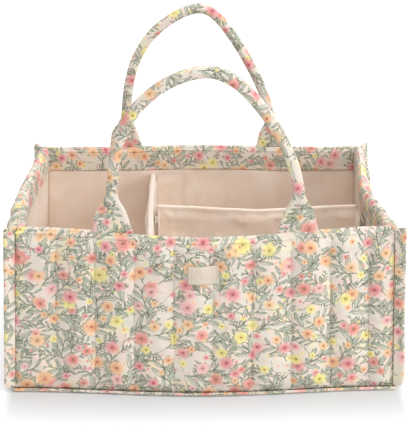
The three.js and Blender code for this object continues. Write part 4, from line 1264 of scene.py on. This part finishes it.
def handle_section(run, seed):
    """Across and through: the half thickness is the greater of the flat cloth and the ridge, plus folds."""
    from_end = (np.minimum(run, run[-1] - run) - TAIL_LENGTH)[:, None]
    wide, thick, ridge = bell_profile(from_end[:, 0])
    angle = np.linspace(0, 2 * np.pi, 33)[:-1][None]
    lens = softened(np.cos(angle), 0.9)
    to_left = np.where(run < run[-1] / 2, 1, -1)[:, None]
    wing = 1 - 0.09 * np.sin(np.pi * np.clip(from_end / TAB_HEIGHT, 0, 1)) * np.sign(lens) * (to_left > 0)
    across = wide * lens * wing
    flat = thick * np.sqrt(np.clip(1 - lens ** 2, 0, 1))
    off_ridge = (across - RIDGE_ASIDE * to_left * (1 - ridge)) / (TUBE_RADIUS * 1.12)
    bulge = TUBE_RADIUS * ridge ** 1.2 * np.sqrt(np.clip(1 - off_ridge ** 2, 0, 1))
    on_tab = 1 - soft_step(from_end, TAB_HEIGHT * 0.9, TAB_HEIGHT * 1.25)
    waves = np.sin(across * 0.55 + 3 * to_left + from_end * 0.12)
    fold = 0.5 * on_tab * soft_step(from_end, 3, 12) * waves
    through = np.sign(np.sin(angle)) * np.maximum(flat, bulge) + fold * np.abs(np.sin(angle))
    wobble = 1 + 0.035 * smooth_noise(run[:, None], angle * 4, 14.0, seed)
    seam = 1 - SEAM_DEPTH * (1 - on_tab) * bump_at(angle, SEAM_ANGLE, SEAM_WIDTH) / TUBE_RADIUS
    return across * wobble * seam, through * wobble * seam


# %% Two handles
def handle_cloth(name, seed):
    """The section carried along the middle line, leaned outward about the sewn edge, the print round it."""
    handle = HANDLES[name]
    x, h, run = handle_line(handle)
    across, through = handle_section(run, seed)
    tangent = unit(np.stack([np.gradient(x), np.gradient(h)], -1))
    plane_x = x[:, None] + tangent[:, 1:] * across
    plane_h = h[:, None] - tangent[:, :1] * across
    lean, (pivot_y, pivot_z) = handle["out"] * LEAN, handle["pivot"]
    points = np.stack([plane_x, pivot_y + through * math.cos(lean) + plane_h * math.sin(lean),
                       pivot_z + plane_h * math.cos(lean) - through * math.sin(lean)], axis=-1)
    girth = np.linalg.norm(np.roll(points, -1, axis=1) - points, axis=2)
    walked = np.concatenate([np.zeros((len(run), 1)), np.cumsum(girth, axis=1)], axis=1)
    u = walked - 0.75 * walked[:, -1:]
    uv = grid_uv(u[:, :-1], run[:, None] + 700.0 * seed + 0 * across, u_end=u[:, 1:])
    parts = ("cover", "rope", "left_tab", "right_tab", "left_tail", "right_tail")
    piece = new_piece(f"{name}_handle_cloth", points, uv, PRINTED_COTTON, None,
                      replaces=[f"{name}_handle_{part}" for part in parts])
    pivot_y * MM
    (pivot_z - 3.5) * MM
    pivot_y * MM
    (pivot_z + 5) * MM
    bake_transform(piece)
    return piece


handle_cloth("front", 3)
handle_cloth("back", 4)

# %% [markdown]
# ## Dividers
# Each divider is a foam board in a satin pouch. Its faces swell a little, its top edge is round, and the
# cloth draws in along the seams at its ends. The long divider bows to the front and its top edge sags. A box
# with rounded edges would be simpler, but it would look like wood, so the pouch is a loop of cloth round the
# board with its own folds, and its faces settle in the cloth solver.

# %% Places on the two dividers
DIVIDER_FOOT, DIVIDER_TOP, DIVIDER_THICKNESS = 8.05, 146.2, 8.0
CROSS_X, CROSS_ENDS, CROSS_LEAN = -54.4, (-122.6, 117.1), 2.6
LONG_Y, LONG_ENDS, LONG_BOW, LONG_SAG = 12.0, (-50.05, 162.5), 8.0, 2.0


def long_belly(along):
    """Squared sine: one in the middle of the long divider and nothing at its ends."""
    return np.sin(np.pi * np.clip((along - LONG_ENDS[0]) / (LONG_ENDS[1] - LONG_ENDS[0]), 0, 1)) ** 2


def cross_place(along, across, z):
    """A place on the cross divider, whose front half leans a little to the right near its top."""
    forward = np.clip((12 - along) / 130, 0, 1) * (1 - soft_step(-along, 108, 118))
    return np.stack([CROSS_X + across + CROSS_LEAN * forward * soft_step(z, 40, 130), along, z], axis=-1)


def long_place(along, across, z):
    """A place on the long divider, which bows to the front and sags in its middle."""
    belly_there = long_belly(along)
    return np.stack([along, LONG_Y + across - LONG_BOW * belly_there,
                     z - LONG_SAG * belly_there * z / DIVIDER_TOP], axis=-1)


# %% The pouch of a divider
END_ROUND, FOLD_ROUND, POUCH_SEAM = 3.4, 2.2, 5.5


def pouch_section():
    """Height and side of the loop: up one face, over the fold, down the other, narrower toward the fold."""
    foot, fold = DIVIDER_FOOT + 1.0, DIVIDER_TOP - FOLD_ROUND
    up, arc = np.linspace(0, 1, 56), np.linspace(0, np.pi, 15)[1:-1]
    face = foot + (fold - foot) * up
    z = np.concatenate([face, fold + FOLD_ROUND * np.sin(arc), face[::-1]])
    across = np.concatenate([-np.ones_like(up), -np.cos(arc), np.ones_like(up)])
    return z, across * (1 - (1 - FOLD_ROUND / (DIVIDER_THICKNESS / 2)) * soft_step(z, DIVIDER_TOP - 15, fold))


# %% What the cloth adds, and where it is held
POUCH_SWELL, POUCH_GROOVE, POUCH_FOLD, POUCH_PUCKER = 0.35, 0.55, 0.55, 0.22


def pouch_relief(along, z, side, from_end, seed):
    """What the cloth adds to the board: a swell, folds, fine puckers by the seam, and the seam's groove."""
    edge = np.minimum(from_end, DIVIDER_TOP - z)
    seam = POUCH_GROOVE * bump_at(edge, POUCH_SEAM, 1.3) * (z < DIVIDER_TOP - 3)
    folds = POUCH_FOLD * smooth_noise(along * (1 + 0.15 * side), z * 0.75, 38.0, seed + 2)
    folds = folds * soft_step(edge, 3, 20)
    pucker = POUCH_PUCKER * smooth_noise(along, z + 40 * side, 6.5, seed + 5) * bump_at(edge, 6.5, 4.5)
    return POUCH_SWELL * soft_step(edge, 6, 26) + folds * 0.7 + pucker - seam


def pouch_held(z, from_end):
    """Which points the cloth solver leaves alone: seams, fold, ends and foot."""
    edge, column = np.minimum(from_end, DIVIDER_TOP - z), np.arange(z.shape[1])
    held = (np.abs(edge - POUCH_SEAM) < 0.9) | (z > DIVIDER_TOP - 5) | (from_end < 5)
    return held | (np.minimum(column, column[::-1])[None] < 2)


# %% Two padded dividers
POUCH_SETTLING = 0.5, 0.018, 0.9  # pressure, growth and the furthest move


def padded_divider(name, ends, place, fuller, seed):
    """A flat loop round the board, rounded at the edges: rows run along it, columns go round its section."""
    low, high = ends
    length, curve = high - low, quarter(8)
    along = np.concatenate([low + END_ROUND - END_ROUND * np.cos(curve)[:-1],
                            low + END_ROUND + (length - 2 * END_ROUND) * np.linspace(0, 1, 141),
                            high - END_ROUND + END_ROUND * np.sin(curve)[1:]])[:, None]
    from_end = np.minimum(along - low, high - along)
    thin = np.sqrt(np.clip(1 - (1 - np.clip(from_end / END_ROUND, 0, 1)) ** 2, 0.02, 1))
    z, across = pouch_section()
    side = np.sign(across)[None]
    rounded = np.concatenate([[0.75], np.ones(len(z) - 2), [0.75]])
    along, z = along + 0 * z[None], z[None] + 0 * along
    fill = np.where(side < 0, 1 + (fuller - 1) * (1 - 0.6 * (along - low) / length), 1.0)
    board = (DIVIDER_THICKNESS / 2 * across * rounded)[None] * thin * fill
    relief = pouch_relief(along, z, side, from_end, seed)
    wavy_top = 0.5 * smooth_noise(along, 0 * z, 21.0, seed + 9)
    wavy_top = wavy_top * soft_step(z, DIVIDER_TOP - 12, DIVIDER_TOP - 2)
    corner_drop = 2.2 * (1 - thin) * soft_step(z, DIVIDER_TOP - 8, DIVIDER_TOP)
    points = place(along, board + side * relief, z + wavy_top - 0.4 - corner_drop)
    outer_way = slice(None, None, -1 if name == "long" else 1)  # the solver's pressure goes to the outside
    held = pouch_held(z, from_end)
    points = settled(points[:, outer_way], held[:, outer_way], *POUCH_SETTLING)[:, outer_way]
    piece = new_piece(f"{name}_divider_pad", points, grid_uv(along + 500, z + 200 * (side > 0)), BEIGE_SATIN,
                      f"{name}_divider", replaces=(f"{name}_divider_cover", f"{name}_divider_core"))
    return piece


padded_divider("cross", CROSS_ENDS, cross_place, 1.8, 101)
padded_divider("long", LONG_ENDS, long_place, 1.0, 131)

# %% [markdown]
# ## Flaps
# At each end a divider carries a flap of doubled satin, which is folded sideways and stuck down with hook and
# loop tape. The fold belongs to both the divider and the flap.
# A closed sheet that thins toward its edges shows the doubled cloth with its seam.

# %% Four flaps
FLAP_THICKNESS, FLAP_WIDTH, FLAP_FOOT, FLAP_TOP, FLAP_CURL = 1.2, 28.0, 11.05, 142.4, 0.7
BEHIND_FOLD, BEFORE_EDGE, BLEND_REACH = 1.8, 1.0, 1.2
QUARTER_BACK = -math.pi / 2
# The fold's place, which way the flap points, its divider, and to which side its edges are pressed.
FLAPS = {
    "cross_front": ((-49.05, -120.305), 0.0, "cross_divider", -1.0),
    "cross_back": ((-49.05, 114.044), 0.0, "cross_divider", 1.0),
    "long_left": ((-45.95, 6.65), QUARTER_BACK, "long_divider", -1.0),
    "long_right": ((159.959, 6.65), QUARTER_BACK, "long_divider", 1.0),
}


def flap_cloth(name, seed):
    """A closed sheet from behind the fold to the free edge, thin there, its points closer at the edges."""
    (fold_x, fold_y), turn, divider, pressed = FLAPS[name]
    out = (-BEHIND_FOLD + (FLAP_WIDTH + BEHIND_FOLD - BEFORE_EDGE) * np.sin(quarter(34)))[:, None]
    z = FLAP_FOOT + (FLAP_TOP - FLAP_FOOT) * (0.5 - 0.5 * np.cos(np.linspace(0, np.pi, 64)))[None]
    edge = np.minimum(np.minimum(FLAP_WIDTH - BEFORE_EDGE - out, 40), np.minimum(z - FLAP_FOOT, FLAP_TOP - z))
    half = FLAP_THICKNESS / 2 * (0.25 + 0.75 * soft_step(edge, -1.0, 7.0))
    half = half - 0.12 * bump_at(edge, 4.2, 1.2) + 0.1 * smooth_noise(out, z, 8.0, seed)
    curl = pressed * FLAP_CURL * (1 - soft_step(edge, 0, 13))
    through = there_and_back(half + curl, curl - half)
    z, out = there_and_back(z, z) + 0 * through, out + 0 * through
    cos, sin = math.cos(turn), math.sin(turn)
    points = np.stack([fold_x + out * cos - through * sin, fold_y + out * sin + through * cos, z], axis=-1)
    piece = new_piece(f"{name}_flap_cloth", points, grid_uv(out + 90 * seed, z), BEIGE_SATIN, None,
                      replaces=(f"{name}_flap",))
    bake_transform(piece)
    return piece


for seed, name in enumerate(FLAPS, start=5):
    flap_cloth(name, seed)

# %% [markdown]
# ## Pieces kept from the CAD model
# The foam boards and the base board are rigid and mostly hidden, and the tape strips are already the right
# shape. They could be built anew, but that would add nothing, so they keep their CAD meshes and get finishes
# of their own.

# %% Finishes of the kept solids
KEPT = {"stiffener": FOAM, "base_board": BOARD, "strip": TAPE}
for node_name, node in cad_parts.items():
    finish = next((material for word, material in KEPT.items() if word in node_name), None)
    if finish and not node.hide_render:
        node.data.materials.clear()
        node.data.materials.append(finish)
        print(node_name, "in", finish.name)

# %% [markdown]
# ## Floor and light
# The caddy stands on a white sweep in a bright room. The world gives even light from all round. A large soft
# lamp from the right gives the walls their shape, one overhead lights the inside, and one in front fills the
# shadows. A real sweep is lit until it looks white, so the floor has a painted glow, seen only by the camera,
# that grows the further it is from the caddy. The glow is weakest next to the caddy, which paints shade
# there.

# %% The floor
# The camera sees a darker, slightly cool floor that the painted glow lifts to white; the tint hides warm
# bounce light.
FLOOR_HALF, FLOOR_PAINT, SEEN_FLOOR = 9.0, colour("#f4f3f2"), colour("#cbcdcf")
SHADED_HALF_WIDTH, SHADED_HALF_DEPTH, SIDE_HURRY = 0.187, 0.125, 8.0
# Where each share of the painted glow starts and is full, in metres from the caddy, and its strength.
PAINTED_GLOWS, LEAST_PAINTED_GLOW = ((0.0, 0.11, 0.32), (0.1, 0.8, 0.17), (0.8, 3.0, 0.3)), 0.08


def floor_material():
    """A pale floor, white to the camera except in shade; its painted glow grows further out, painting shade
    by the caddy.
    """
    material, tree, shader = new_material("floor")
    shader.inputs["Roughness"].default_value = 0.9
    shader.inputs["Specular IOR Level"].default_value = 0.1
    shader.inputs["Emission Color"].default_value = (1, 1, 1, 1)
    seen = Field(tree, add_node(tree, "ShaderNodeLightPath").outputs["Is Camera Ray"])
    feed(tree, shader.inputs["Base Color"], mixed(tree, seen, FLOOR_PAINT, SEEN_FLOOR))
    x, y, _ = split(tree, add_node(tree, "ShaderNodeTexCoord").outputs["Object"])
    beside = (abs(x) - SHADED_HALF_WIDTH).math("MAXIMUM", 0.0) * SIDE_HURRY
    before = (abs(y) - SHADED_HALF_DEPTH).math("MAXIMUM", 0.0)
    distance = (beside * beside + before * before).math("SQRT")
    near, middle, far = (distance.step(start, full) * strength for start, full, strength in PAINTED_GLOWS)
    # Painted light: emission for the camera only, weakest next to the caddy, where it leaves painted shade.
    feed(tree, shader.inputs["Emission Strength"], seen * (near + middle + far + LEAST_PAINTED_GLOW))
    return material


floor_mesh = bpy.data.meshes.new("floor")
corners = [(x * FLOOR_HALF, y * FLOOR_HALF, 0) for x, y in ((-1, -1), (1, -1), (1, 1), (-1, 1))]
floor_mesh.from_pydata(corners, [], [(0, 1, 2, 3)])
floor_mesh.materials.append(floor_material())
in_scene("floor", floor_mesh)

# %% The lamps
LAMP_TARGET = (0, 0, 0.1)
# Place and size in metres, and power in watts.
LAMPS = {"key": ((3.7, -1.3, 2.0), 1.5, 98.0), "overhead": ((-0.15, 0.35, 2.0), 1.5, 20.0),
         "fill": ((0.2, -1.2, 2.0), 1.2, 17.0)}


def area_lamp(name, place, size, power):
    """A square soft lamp at a place, turned to face the caddy."""
    light = bpy.data.lights.new(name, "AREA")
    light.shape, light.size, light.energy = "SQUARE", size, power
    backward = unit(np.array(place, float) - np.array(LAMP_TARGET, float))
    right = unit(np.cross([0, 0, 1], backward))
    in_scene(name, light, place, np.stack([right, np.cross(backward, right), backward], axis=1))
    print(f"{name} lamp: {power} W")


for name, (place, size, power) in LAMPS.items():
    area_lamp(name, place, size, power)

# %% The room
ROOM_SEEN, ROOM_LIGHT = 1.0, 0.46
world = bpy.data.worlds.new("room")
scene.world = world
world.use_nodes = True
room = world.node_tree.nodes["Background"]
room.inputs["Color"].default_value = (1.0, 1.0, 1.0, 1.0)
path = add_node(world.node_tree, "ShaderNodeLightPath")
seen = Field(world.node_tree, path.outputs["Is Camera Ray"]).math("MAXIMUM", path.outputs["Is Glossy Ray"])
feed(world.node_tree, room.inputs["Strength"], seen * (ROOM_SEEN - ROOM_LIGHT) + ROOM_LIGHT)
scene.view_settings.view_transform = "Standard"
